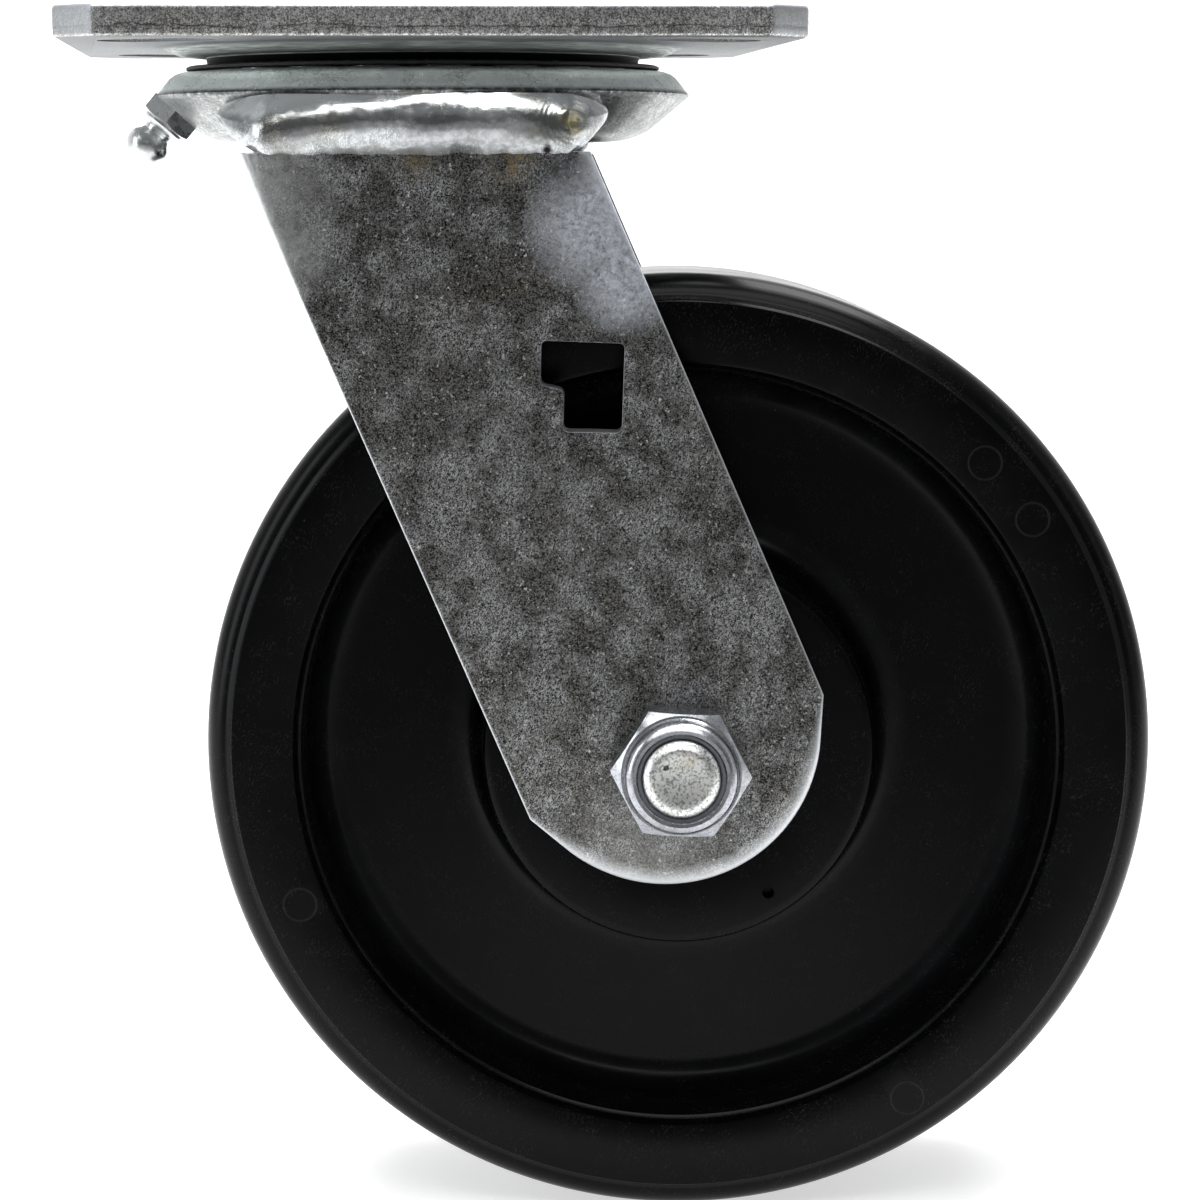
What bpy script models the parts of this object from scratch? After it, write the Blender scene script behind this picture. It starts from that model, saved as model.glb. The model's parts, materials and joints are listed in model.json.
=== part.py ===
"""Swivel plate caster used as a gate wheel: forged plate and raceway, two leg fork, solid plastic wheel."""
import math

import bmesh
import bpy
from mathutils import Matrix, Vector

MM = 0.001
GAP = 0.3

# Mounting plate
PLATE_X = 114.3
PLATE_Y = 101.6
PLATE_T = 5.3
PLATE_CHAMFER = 6.3
SLOT_R = 5.15
SLOT_OUTER = (46.05, 33.35)
SLOT_INNER = (38.1, 38.1)
BOSS_R_TOP = 41.4
BOSS_R_BOTTOM = 39.0
BOSS_Z = -8.1
KINGPIN_R = 8.0
KINGPIN_END = -38.5

# Ball races
UPPER_BALLS = 18
UPPER_BALL_R = 4.76
UPPER_RACE_R = 30.0
UPPER_RACE_Z = -8.7
LOWER_BALLS = 12
LOWER_BALL_R = 3.175
LOWER_RACE_R = 13.5
LOWER_RACE_Z = -21.2
GROOVE_CLEARANCE = 0.3

# Yoke base, the forged disc between the races
YOKE_TOP = -9.3
YOKE_R = 43.5
YOKE_BOTTOM = -20.5

# Fork legs, measured in the leg's own plane from the axle
AXLE_X = 41.3
AXLE_Z = -117.5
LEG_OUTER_Y = 40.5
LEG_T = 7.94
LEG_HALF_WIDTH = 24.9
LEG_ANGLE = math.radians(23.2)
LEG_END_R = 24.2
LEG_END_CENTRE = 5.7
LEG_SIDE_STOP = 1.5
LEG_TOP_Z = -20.9
BRAKE_SLOT = ((19.9, -51.1), (32.8, -51.6), (32.3, -65.4), (23.2, -65.2), (23.4, -58.8), (19.7, -58.0))
BRAKE_SLOT_CORNER = 1.0

# Weld beads
BEAD_HALF_LENGTH = 30.5
BEAD_Y = -38.2
BEAD_Z = -18.3
BEAD_SEMI_Y = 5.0
BEAD_SEMI_Z = 4.3

# Wheel
WHEEL_R = 76.2
TREAD_HALF = 25.4
SHOULDER_R = 4.8
RIM_INNER_R = 61.7
WEB_HALF = 7.0
HUB_R = 31.3
HUB_HALF = 26.5
BORE_R = 15.1
WHEEL_SEGMENTS = 60
DISC_SEGMENTS = 48

# Axle and bearing
BOLT_R = 6.0
BOLT_HEAD_AF = 19.0
BOLT_HEAD_T = 7.5
BOLT_END_Y = -53.2
NUT_COLLAR_R = 8.8
NUT_HEX_T = 8.1
NUT_T = 11.7
SLEEVE_R = 9.525
SLEEVE_HALF = 32.25
ROLLERS = 8
ROLLER_R = 2.68
ROLLER_PITCH_R = 12.3
ROLLER_HALF = 24.0
CAGE_HALF = 26.3
WASHER_R = 18.4
WASHER_SPAN = (26.8, 30.5)
CAP_R = 15.8
CAP_SPAN = (30.8, 32.2)

# Grease fitting on the lower cone of the yoke base
FITTING_AZIMUTH = math.radians(188.0)
FITTING_R = 40.2
FITTING_Z = -16.2

# The free fork stands a little off the plate's own axis at rest
REST_SWIVEL = math.radians(-5.3)
PLATE_BODY = ("top_plate", "kingpin_nut", "lower_race_cup", "dust_seal")

AXLE = Vector((AXLE_X, 0.0, AXLE_Z))


def clear_scene():
    for item in list(bpy.data.objects):
        bpy.data.objects.remove(item, do_unlink=True)


def make_material(name, colour, roughness, metallic):
    material = bpy.data.materials.new(name)
    material.use_nodes = True
    shader = material.node_tree.nodes["Principled BSDF"]
    shader.inputs["Base Color"].default_value = (*colour, 1.0)
    shader.inputs["Roughness"].default_value = roughness
    shader.inputs["Metallic"].default_value = metallic
    return material


def finish(name, mesh, colour, roughness, metallic, angle=35.0):
    """Turn a mesh in millimetres, drawn in the world frame, into a named object."""
    mesh.transform(Matrix.Scale(MM, 4))
    mesh.shade_smooth()
    mesh.set_sharp_from_angle(angle=math.radians(angle))
    mesh.materials.clear()
    mesh.materials.append(make_material(name, colour, roughness, metallic))
    item = bpy.data.objects.new(name, mesh)
    bpy.context.collection.objects.link(item)
    return item


def move_origin(item, origin):
    """Put the object's origin at a world point without moving its geometry."""
    item.data.transform(Matrix.Translation(-origin * MM))
    item.location = origin * MM


def to_mesh(shape, name):
    bmesh.ops.remove_doubles(shape, verts=shape.verts, dist=1e-5)
    bmesh.ops.recalc_face_normals(shape, faces=shape.faces)
    mesh = bpy.data.meshes.new(name)
    shape.to_mesh(mesh)
    shape.free()
    return mesh


def revolve(profile, segments, name="solid", axis="Z", centre=(0.0, 0.0, 0.0)):
    """Spin a closed (radius, height) loop about an axis through centre."""
    shape = bmesh.new()
    points = [shape.verts.new((radius, 0.0, height)) for radius, height in profile]
    for index, point in enumerate(points):
        shape.edges.new((point, points[(index + 1) % len(points)]))
    bmesh.ops.spin(
        shape,
        geom=list(shape.verts) + list(shape.edges),
        cent=(0, 0, 0),
        axis=(0, 0, 1),
        angle=math.tau,
        steps=segments,
        use_merge=True,
    )
    if axis == "Y":
        shape.transform(Matrix.Rotation(-math.pi / 2, 4, "X"))
    shape.transform(Matrix.Translation(centre))
    return to_mesh(shape, name)


def prism(outline, low, high, name="prism", plane="XY"):
    """Extrude a closed outline between two levels of the axis square to its plane."""
    shape = bmesh.new()
    if plane == "XY":
        points = [shape.verts.new((a, b, low)) for a, b in outline]
        offset = Vector((0, 0, high - low))
    else:
        points = [shape.verts.new((a, low, b)) for a, b in outline]
        offset = Vector((0, high - low, 0))
    face = shape.faces.new(points)
    extruded = bmesh.ops.extrude_face_region(shape, geom=[face])
    moved = [item for item in extruded["geom"] if isinstance(item, bmesh.types.BMVert)]
    bmesh.ops.translate(shape, verts=moved, vec=offset)
    return to_mesh(shape, name)


def bevel_level(mesh, axis, level, width, segments):
    """Round the edges that lie in the plane axis = level."""
    shape = bmesh.new()
    shape.from_mesh(mesh)
    rim = []
    for edge in shape.edges:
        if all(abs(point.co[axis] - level) < 1e-4 for point in edge.verts):
            if not edge.is_manifold or edge.calc_face_angle() > 0.5:
                rim.append(edge)
    bmesh.ops.bevel(
        shape, geom=rim, offset=width, segments=segments, profile=0.5, affect="EDGES", clamp_overlap=True
    )
    bmesh.ops.recalc_face_normals(shape, faces=shape.faces)
    shape.to_mesh(mesh)
    shape.free()
    return mesh


def combine(base, tool, operation):
    """Apply one exact Boolean and drop the tool."""
    base_item = bpy.data.objects.new("base", base)
    tool_item = bpy.data.objects.new("tool", tool)
    bpy.context.collection.objects.link(base_item)
    bpy.context.collection.objects.link(tool_item)
    modifier = base_item.modifiers.new("combine", "BOOLEAN")
    modifier.operation = operation
    modifier.solver = "EXACT"
    modifier.object = tool_item
    bpy.context.view_layer.update()
    graph = bpy.context.evaluated_depsgraph_get()
    result = bpy.data.meshes.new_from_object(base_item.evaluated_get(graph))
    bpy.data.objects.remove(base_item, do_unlink=True)
    bpy.data.objects.remove(tool_item, do_unlink=True)
    return result


def arc(centre, radius, start, end, steps):
    """Points on a circle from one angle in degrees to another."""
    points = []
    for index in range(steps + 1):
        angle = math.radians(start + (end - start) * index / steps)
        points.append((centre[0] + radius * math.cos(angle), centre[1] + radius * math.sin(angle)))
    return points


def rounded(outline, radius, steps=3):
    """Replace each corner of an outline by a short arc of curve."""
    result = []
    count = len(outline)
    for index in range(count):
        corner = Vector(outline[index])
        before = (Vector(outline[index - 1]) - corner).normalized() * radius
        after = (Vector(outline[(index + 1) % count]) - corner).normalized() * radius
        for step in range(steps + 1):
            t = step / steps
            point = corner + before * (1 - t) ** 2 + after * t**2
            result.append((point.x, point.y))
    return result


def hexagon(across_flats, centre=(0.0, 0.0), turn=0.0):
    radius = across_flats / math.sqrt(3)
    points = []
    for index in range(6):
        angle = turn + index * math.pi / 3
        points.append((centre[0] + radius * math.cos(angle), centre[1] + radius * math.sin(angle)))
    return points


def groove(centre_r, centre_z, radius, level, below):
    """The arc that a ball groove cuts through a flat land at the given level, inner side first."""
    sine = (level - centre_z) / radius
    edge = math.degrees(math.asin(sine))
    if below:
        return arc((centre_r, centre_z), radius, 180.0 - edge, 360.0 + edge, 7)
    return arc((centre_r, centre_z), radius, 180.0 - edge, edge, 7)


def build_plate():
    half_x = PLATE_X / 2
    half_y = PLATE_Y / 2
    c = PLATE_CHAMFER
    outline = [
        (half_x, -half_y + c), (half_x, half_y - c), (half_x - c, half_y), (-half_x + c, half_y),
        (-half_x, half_y - c), (-half_x, -half_y + c), (-half_x + c, -half_y), (half_x - c, -half_y),
    ]
    mesh = prism(outline, -PLATE_T, 0.0)
    mesh = bevel_level(mesh, 2, 0.0, 0.6, 2)
    mesh = bevel_level(mesh, 2, -PLATE_T, 0.6, 2)
    profile = [(0.0, -2.0), (BOSS_R_TOP, -2.0), (BOSS_R_TOP, -PLATE_T - 0.4), (BOSS_R_BOTTOM, BOSS_Z)]
    profile += [(KINGPIN_R + 1.2, BOSS_Z), (KINGPIN_R, BOSS_Z - 1.2)]
    profile += [(KINGPIN_R, KINGPIN_END + 1.0), (KINGPIN_R - 1.0, KINGPIN_END), (0.0, KINGPIN_END)]
    mesh = combine(mesh, revolve(profile, DISC_SEGMENTS), "UNION")
    race = arc((UPPER_RACE_R, UPPER_RACE_Z), UPPER_BALL_R + GROOVE_CLEARANCE, 0, 337.5, 15)
    mesh = combine(mesh, revolve(race, DISC_SEGMENTS), "DIFFERENCE")
    for sign_x in (-1, 1):
        for sign_y in (-1, 1):
            outer = Vector((SLOT_OUTER[0] * sign_x, SLOT_OUTER[1] * sign_y))
            inner = Vector((SLOT_INNER[0] * sign_x, SLOT_INNER[1] * sign_y))
            along = outer - inner
            heading = math.degrees(math.atan2(along.y, along.x))
            slot = arc(outer, SLOT_R, heading - 90, heading + 90, 8)
            slot += arc(inner, SLOT_R, heading + 90, heading + 270, 8)
            mesh = combine(mesh, prism(slot, -12.0, 4.0), "DIFFERENCE")
    return finish("top_plate", mesh, (0.56, 0.57, 0.56), 0.42, 1.0)


def build_kingpin_parts():
    nut = prism(hexagon(24.0), -37.0, -27.7)
    chamfer = [(0.0, -27.0), (15.0, -27.0), (15.0, -35.8), (12.2, -37.0), (0.0, -37.0)]
    nut = combine(nut, revolve(chamfer, 32), "INTERSECT")
    bore = [(0.0, -20.0), (KINGPIN_R + GAP, -20.0), (KINGPIN_R + GAP, -45.0), (0.0, -45.0)]
    nut = combine(nut, revolve(bore, 32), "DIFFERENCE")
    finish("kingpin_nut", nut, (0.52, 0.53, 0.53), 0.4, 1.0)

    land = groove(LOWER_RACE_R, LOWER_RACE_Z, LOWER_BALL_R + GROOVE_CLEARANCE, -21.5, True)
    cup = [(KINGPIN_R + GAP, -27.4), (KINGPIN_R + GAP, -21.5)] + land
    cup += [(18.6, -21.5), (19.4, -22.2), (19.4, -24.0), (16.6, -27.4)]
    finish("lower_race_cup", revolve(cup, 32), (0.5, 0.5, 0.5), 0.45, 1.0)

    seal = [(35.6, -9.0), (38.4, -9.0), (38.4, -8.4), (35.6, -8.4)]
    finish("dust_seal", revolve(seal, 48), (0.03, 0.03, 0.03), 0.6, 0.0)


def build_balls(prefix, count, radius, race_r, race_z):
    shape = bmesh.new()
    bmesh.ops.create_icosphere(shape, subdivisions=2, radius=radius)
    bmesh.ops.translate(shape, verts=shape.verts, vec=(race_r, 0, 0))
    mesh = to_mesh(shape, prefix)
    first = finish(prefix + "_01", mesh, (0.62, 0.62, 0.64), 0.15, 1.0, 180.0)
    first.location = (0, 0, race_z * MM)
    for index in range(1, count):
        copy = bpy.data.objects.new("%s_%02d" % (prefix, index + 1), first.data)
        bpy.context.collection.objects.link(copy)
        copy.location = (0, 0, race_z * MM)
        copy.rotation_euler = (0, 0, math.tau * index / count)


def fitting_frame():
    """Frame on the yoke's lower cone: local +Z leaves the surface."""
    lean = Vector((4.6, -5.5)).normalized()
    radial = Vector((math.cos(FITTING_AZIMUTH), math.sin(FITTING_AZIMUTH), 0.0))
    normal = radial * lean.x + Vector((0, 0, lean.y))
    base = radial * FITTING_R + Vector((0, 0, FITTING_Z))
    turn = normal.to_track_quat("Z", "Y").to_matrix().to_4x4()
    return Matrix.Translation(base) @ turn


def yoke_profile(clearance=0.0):
    """Outer contour of the forged disc, from its top land down to its flat underside."""
    k = clearance
    return [
        (39.2 + k, YOKE_TOP + k), (40.8 + k, YOKE_TOP - 0.4 + k), (42.3 + k, YOKE_TOP - 1.9),
        (YOKE_R + k, -12.8), (YOKE_R + k, -13.3), (42.9 + k, -14.0 - k), (37.4 + k, -18.5 - k),
        (34.2 + k, -20.1 - k), (31.0, YOKE_BOTTOM - k),
    ]


def build_yoke_base():
    upper = groove(UPPER_RACE_R, UPPER_RACE_Z, UPPER_BALL_R + GROOVE_CLEARANCE, YOKE_TOP, True)
    lower = groove(LOWER_RACE_R, LOWER_RACE_Z, LOWER_BALL_R + GROOVE_CLEARANCE, YOKE_BOTTOM, False)
    profile = [(KINGPIN_R + 0.5, YOKE_BOTTOM), (KINGPIN_R + 0.5, YOKE_TOP - 1.2), (KINGPIN_R + 1.7, YOKE_TOP)]
    profile += upper + yoke_profile() + list(reversed(lower))
    mesh = revolve(profile, DISC_SEGMENTS)
    hole = revolve([(0, -4.4), (2.8, -4.4), (2.8, 6.0), (0, 6.0)], 20)
    hole.transform(fitting_frame())
    mesh = combine(mesh, hole, "DIFFERENCE")
    finish("yoke_base", mesh, (0.55, 0.56, 0.56), 0.4, 1.0)


def build_grease_fitting():
    body = prism(hexagon(7.9), 0.35, 3.0)
    stem = [(0, -4.0), (2.5, -4.0), (2.5, 2.0), (3.4, 2.0), (3.4, 3.6), (2.3, 4.2), (2.3, 5.4)]
    stem += [(3.1, 6.3), (3.25, 7.4), (2.7, 8.6), (1.7, 9.6), (0, 9.6)]
    mesh = combine(body, revolve(stem, 20), "UNION")
    mesh.transform(fitting_frame())
    finish("grease_fitting", mesh, (0.55, 0.54, 0.5), 0.35, 1.0)


def leg_point(across, along):
    """A point of the leg's plane, given across and up the leg from the axle."""
    x = AXLE_X + across * math.cos(LEG_ANGLE) - along * math.sin(LEG_ANGLE)
    z = AXLE_Z + across * math.sin(LEG_ANGLE) + along * math.cos(LEG_ANGLE)
    return (x, z)


def leg_outline(spread=0.0):
    half = LEG_HALF_WIDTH + spread
    top = LEG_TOP_Z + spread
    outline = []
    # the end runs straight off each side corner until it is tangent to the round
    reach = math.hypot(half, LEG_END_CENTRE - LEG_SIDE_STOP)
    dip = math.degrees(math.atan2(LEG_END_CENTRE - LEG_SIDE_STOP, half))
    start = dip + math.degrees(math.acos((LEG_END_R + spread) / reach))
    end_arc = arc((0.0, LEG_END_CENTRE), LEG_END_R + spread, 180.0 + start, 360.0 - start, 24)
    for across in (half, -half):
        rise = (top - AXLE_Z - across * math.sin(LEG_ANGLE)) / math.cos(LEG_ANGLE)
        outline.append(leg_point(across, rise))
    outline.append(leg_point(-half, LEG_SIDE_STOP))
    outline += [leg_point(across, along) for across, along in end_arc]
    outline.append(leg_point(half, LEG_SIDE_STOP))
    return outline


def build_leg(name, side):
    outer = side * LEG_OUTER_Y
    inner = side * (LEG_OUTER_Y - LEG_T)
    mesh = prism(leg_outline(), min(outer, inner), max(outer, inner), plane="XZ")
    mesh = bevel_level(mesh, 1, outer, 1.0, 2)
    slot = rounded(BRAKE_SLOT, BRAKE_SLOT_CORNER)
    mesh = combine(mesh, prism(slot, -60.0, 60.0, plane="XZ"), "DIFFERENCE")
    hole = arc((AXLE_X, AXLE_Z), BOLT_R + GAP, 0, 345, 23)
    mesh = combine(mesh, prism(hole, -60.0, 60.0, plane="XZ"), "DIFFERENCE")
    finish(name, mesh, (0.55, 0.56, 0.57), 0.4, 1.0)


def build_bead(name, side):
    """A fillet weld that joins the top of a leg to the cone of the yoke base."""
    stations = 15
    points = 14
    shape = bmesh.new()
    rings = []
    for station in range(stations):
        t = -1 + 2 * station / (stations - 1)
        x = BEAD_HALF_LENGTH * math.sin(t * math.pi / 2)
        size = max(0.16, (1 - abs(math.sin(t * math.pi / 2)) ** 6) ** 0.5)
        y = BEAD_Y + 4.2 * abs(x / BEAD_HALF_LENGTH) ** 3
        ring = []
        for index in range(points):
            angle = math.tau * index / points
            dy = BEAD_SEMI_Y * size * math.cos(angle)
            dz = BEAD_SEMI_Z * size * math.sin(angle)
            ring.append(shape.verts.new((x, y + dy, BEAD_Z + dz)))
        rings.append(ring)
    for first, second in zip(rings, rings[1:]):
        for index in range(points):
            other = (index + 1) % points
            shape.faces.new((first[index], first[other], second[other], second[index]))
    shape.faces.new(list(reversed(rings[0])))
    shape.faces.new(rings[-1])
    mesh = to_mesh(shape, name)
    disc = [(0.0, YOKE_TOP + 5.0), (39.5, YOKE_TOP + 5.0)] + yoke_profile(GAP) + [(0.0, YOKE_BOTTOM - GAP)]
    mesh = combine(mesh, revolve(disc, DISC_SEGMENTS), "DIFFERENCE")
    block = prism(leg_outline(GAP), -LEG_OUTER_Y - GAP, -20.0, plane="XZ")
    mesh = combine(mesh, block, "DIFFERENCE")
    if side > 0:
        mesh.transform(Matrix.Scale(-1, 4, (0, 1, 0)))
        mesh.flip_normals()
    finish(name, mesh, (0.6, 0.6, 0.58), 0.3, 1.0, 50.0)


def on_axle(profile, segments=28):
    """Revolve a (radius, y) loop about the wheel axis."""
    return revolve(profile, segments, "solid", "Y", AXLE)


def build_axle():
    head_low = LEG_OUTER_Y + GAP
    head = prism(hexagon(BOLT_HEAD_AF, (AXLE_X, AXLE_Z), 0.1), head_low, head_low + BOLT_HEAD_T, plane="XZ")
    trim = [(0, 30.0), (13.0, 30.0), (13.0, head_low + 6.6), (9.2, head_low + BOLT_HEAD_T)]
    trim += [(0, head_low + BOLT_HEAD_T)]
    head = combine(head, on_axle(trim, 28), "INTERSECT")
    shank = [(0, head_low + 3.0), (BOLT_R, head_low + 3.0), (BOLT_R, BOLT_END_Y + 1.2)]
    shank += [(BOLT_R - 1.2, BOLT_END_Y), (0, BOLT_END_Y)]
    bolt = combine(head, on_axle(shank, 28), "UNION")
    finish("axle_bolt", bolt, (0.55, 0.55, 0.54), 0.35, 1.0)

    base = -LEG_OUTER_Y - GAP
    nut = prism(hexagon(BOLT_HEAD_AF, (AXLE_X, AXLE_Z), -0.05), base - NUT_HEX_T, base, plane="XZ")
    trim = [(0, base), (9.8, base), (11.2, base - 0.8), (11.2, base - 6.9), (9.4, base - NUT_HEX_T)]
    trim += [(0, base - NUT_HEX_T)]
    nut = combine(nut, on_axle(trim, 28), "INTERSECT")
    collar = [(0, base - 4.0), (NUT_COLLAR_R, base - 4.0), (NUT_COLLAR_R, base - 10.7)]
    collar += [(NUT_COLLAR_R - 1.0, base - NUT_T), (0, base - NUT_T)]
    nut = combine(nut, on_axle(collar, 28), "UNION")
    bore = [(0, base + 2), (BOLT_R + GAP, base + 2), (BOLT_R + GAP, base - 8.4), (7.9, base - 8.4)]
    bore += [(7.9, base - 11.2), (6.6, base - 11.2), (6.6, base - 13), (0, base - 13)]
    nut = combine(nut, on_axle(bore, 28), "DIFFERENCE")
    finish("axle_nut", nut, (0.57, 0.57, 0.57), 0.32, 1.0)

    insert = [(BOLT_R + GAP, base - 8.7), (7.6, base - 8.7), (7.6, base - 10.9), (BOLT_R + GAP, base - 10.9)]
    finish("nut_insert", on_axle(insert, 32), (0.75, 0.78, 0.8), 0.5, 0.0)

    sleeve = [(BOLT_R + GAP, -SLEEVE_HALF), (SLEEVE_R, -SLEEVE_HALF), (SLEEVE_R, SLEEVE_HALF)]
    sleeve += [(BOLT_R + GAP, SLEEVE_HALF)]
    finish("axle_sleeve", on_axle(sleeve, 28), (0.5, 0.5, 0.5), 0.25, 1.0)

    for label, side in (("near", -1), ("far", 1)):
        inner = SLEEVE_R + 0.35
        low, high = WASHER_SPAN
        washer = [(inner, side * low), (WASHER_R, side * low), (WASHER_R, side * high), (inner, side * high)]
        finish("thrust_washer_" + label, on_axle(washer, 28), (0.5, 0.5, 0.5), 0.4, 1.0)
        low, high = CAP_SPAN
        cap = [(inner, side * low), (CAP_R, side * low), (CAP_R, side * high), (inner, side * high)]
        finish("dust_cap_" + label, on_axle(cap, 28), (0.06, 0.06, 0.06), 0.55, 0.0)


def wheel_half_profile():
    """Contour from the hub's bore edge to the middle of the tread, for the +Y side."""
    contour = [(BORE_R, HUB_HALF - 0.5), (BORE_R + 0.5, HUB_HALF)]
    contour += [(HUB_R - 0.9, HUB_HALF), (HUB_R, HUB_HALF - 0.7)]
    contour += [(HUB_R + 0.9, WEB_HALF + 4.2)]
    contour += arc((HUB_R + 5.1, WEB_HALF + 4.2), 4.2, 180, 270, 3)[1:]
    contour += arc((RIM_INNER_R - 5.7, WEB_HALF + 4.4), 4.4, -90, 0, 3)
    contour += [(RIM_INNER_R - 0.5, TREAD_HALF - 1.0), (RIM_INNER_R + 0.4, TREAD_HALF)]
    contour += arc((WHEEL_R - SHOULDER_R, TREAD_HALF - SHOULDER_R), SHOULDER_R, 90, 0, 5)
    return contour


def build_wheel():
    half = wheel_half_profile()
    profile = half + [(radius, -y) for radius, y in reversed(half)]
    mesh = on_axle(profile, WHEEL_SEGMENTS)
    wheel = finish("wheel", mesh, (0.02, 0.02, 0.022), 0.45, 0.0)
    move_origin(wheel, AXLE)


def build_roller_bearing():
    ring = [(11.3, -CAGE_HALF), (13.3, -CAGE_HALF), (13.3, CAGE_HALF), (11.3, CAGE_HALF)]
    cage = on_axle(ring, 32)
    window = ROLLER_HALF + GAP
    for index in range(ROLLERS):
        box = prism([(9.0, -3.0), (16.0, -3.0), (16.0, 3.0), (9.0, 3.0)], -window, window, plane="XZ")
        box.transform(Matrix.Rotation(-math.tau * index / ROLLERS, 4, "Y"))
        box.transform(Matrix.Translation(AXLE))
        cage = combine(cage, box, "DIFFERENCE")
    cage_item = finish("roller_cage", cage, (0.45, 0.36, 0.16), 0.5, 0.0)
    move_origin(cage_item, AXLE)

    circle = arc((ROLLER_PITCH_R, 0.0), ROLLER_R, 0, 337.5, 15)
    roller = prism(circle, -ROLLER_HALF, ROLLER_HALF, plane="XZ")
    first = finish("roller_01", roller, (0.6, 0.6, 0.62), 0.2, 1.0, 50.0)
    first.location = AXLE * MM
    for index in range(1, ROLLERS):
        copy = bpy.data.objects.new("roller_%02d" % (index + 1), first.data)
        bpy.context.collection.objects.link(copy)
        copy.location = AXLE * MM
        copy.rotation_euler = (0, -math.tau * index / ROLLERS, 0)


def swivel_fork():
    """Turn everything below the plate about the kingpin to its rest angle."""
    bpy.context.view_layer.update()
    turn = Matrix.Rotation(REST_SWIVEL, 4, "Z")
    for item in bpy.data.objects:
        if item.name not in PLATE_BODY:
            item.matrix_world = turn @ item.matrix_world


def build():
    clear_scene()
    build_plate()
    build_kingpin_parts()
    build_balls("upper_ball", UPPER_BALLS, UPPER_BALL_R, UPPER_RACE_R, UPPER_RACE_Z)
    build_balls("lower_ball", LOWER_BALLS, LOWER_BALL_R, LOWER_RACE_R, LOWER_RACE_Z)
    build_yoke_base()
    build_grease_fitting()
    build_leg("near_leg", -1)
    build_leg("far_leg", 1)
    build_bead("near_weld", -1)
    build_bead("far_weld", 1)
    build_axle()
    build_wheel()
    build_roller_bearing()
    swivel_fork()


build()
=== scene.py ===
"""Studio view of a swivel plate caster with a solid plastic wheel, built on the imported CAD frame."""
import json
import math

import bmesh
import bpy
from mathutils import Matrix, Vector, noise


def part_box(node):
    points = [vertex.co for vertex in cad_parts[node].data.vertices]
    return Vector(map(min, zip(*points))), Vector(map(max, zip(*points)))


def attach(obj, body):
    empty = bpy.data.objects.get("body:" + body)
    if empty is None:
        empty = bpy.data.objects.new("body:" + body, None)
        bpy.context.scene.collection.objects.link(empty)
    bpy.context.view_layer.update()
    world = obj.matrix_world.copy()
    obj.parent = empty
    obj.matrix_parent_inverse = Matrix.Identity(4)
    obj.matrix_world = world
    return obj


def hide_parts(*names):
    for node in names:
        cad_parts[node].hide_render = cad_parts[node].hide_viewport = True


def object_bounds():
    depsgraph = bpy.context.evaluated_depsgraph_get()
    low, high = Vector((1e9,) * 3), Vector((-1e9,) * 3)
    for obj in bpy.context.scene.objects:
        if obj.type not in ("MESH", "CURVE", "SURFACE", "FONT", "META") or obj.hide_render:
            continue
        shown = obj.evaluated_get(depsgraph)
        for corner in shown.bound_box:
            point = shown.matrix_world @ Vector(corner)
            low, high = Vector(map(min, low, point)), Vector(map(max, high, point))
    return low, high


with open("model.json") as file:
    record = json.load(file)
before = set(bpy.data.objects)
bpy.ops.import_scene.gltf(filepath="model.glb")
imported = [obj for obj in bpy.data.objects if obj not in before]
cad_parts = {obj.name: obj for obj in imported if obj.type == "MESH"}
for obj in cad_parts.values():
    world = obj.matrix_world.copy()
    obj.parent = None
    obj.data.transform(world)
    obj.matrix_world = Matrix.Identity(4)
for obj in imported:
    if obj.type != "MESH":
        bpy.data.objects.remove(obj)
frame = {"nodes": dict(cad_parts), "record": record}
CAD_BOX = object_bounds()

MM = 0.001
JOINTS = {joint["name"]: joint for joint in frame["record"]["behaviour"]["joints"]}

# The fork's rest angle and the wheel centre come from the wheel's own hinge
AXLE_AXIS = Vector(JOINTS["wheel_spin"]["axis"])
REST_TURN = math.atan2(-AXLE_AXIS.x, AXLE_AXIS.y)
FORK_TURN = Matrix.Rotation(REST_TURN, 4, "Z")
WHEEL_CENTRE = FORK_TURN.inverted() @ Vector(JOINTS["wheel_spin"]["pos_m"])
AXLE_X = WHEEL_CENTRE.x / MM
AXLE_Z = WHEEL_CENTRE.z / MM
PLATE_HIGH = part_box("top_plate")[1]
FLOOR_Z = CAD_BOX[0].z

# Driving sizes in millimetres: the plate and the bearings about the swivel axis, the rest in the fork's frame
PLATE_T = 5.3
PLATE_CHAMFER = 6.3
SLOT_R = 5.15
SLOT_OUTER = (46.05, 33.35)
SLOT_INNER = (38.1, 38.1)
BOSS_Z = -8.1
YOKE_TOP = -9.3
YOKE_R = 43.5
YOKE_BOTTOM = -20.5
LEG_OUTER_Y = 40.5
LEG_T = 7.94
LEG_HALF_WIDTH = 24.9
LEG_ANGLE = math.radians(23.2)
LEG_END_R = 24.2
LEG_END_CENTRE = 5.7
LEG_SIDE_STOP = 1.5
LEG_TOP_Z = -22.3
BRAKE_SLOT = ((19.9, -51.1), (32.8, -51.6), (32.3, -65.4), (23.2, -65.2), (23.4, -58.8), (19.7, -58.0))
WHEEL_R = 76.2
TREAD_HALF = 25.4
HUB_R = 31.3
HUB_HALF = 26.5
BORE_R = 15.1
WEB_HALF = 7.0
RIM_INNER_R = 61.7
BOLT_R = 6.0
NUT_BASE = -40.6
HEX_FLATS = 19.0
THREAD_END = -51.6
THREAD_PITCH = 1.75
KINGPIN_R = 8.0
THREAD_START = -36.6
UPPER_RACE = (30.0, -8.7)
UPPER_GROOVE_R = 5.06
UPPER_BALL_R = 4.76
LOWER_RACE = (13.5, -21.2)
LOWER_GROOVE_R = 3.47
LOWER_BALL_R = 3.175
CONE_SEAM = (YOKE_R, -13.0)
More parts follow.
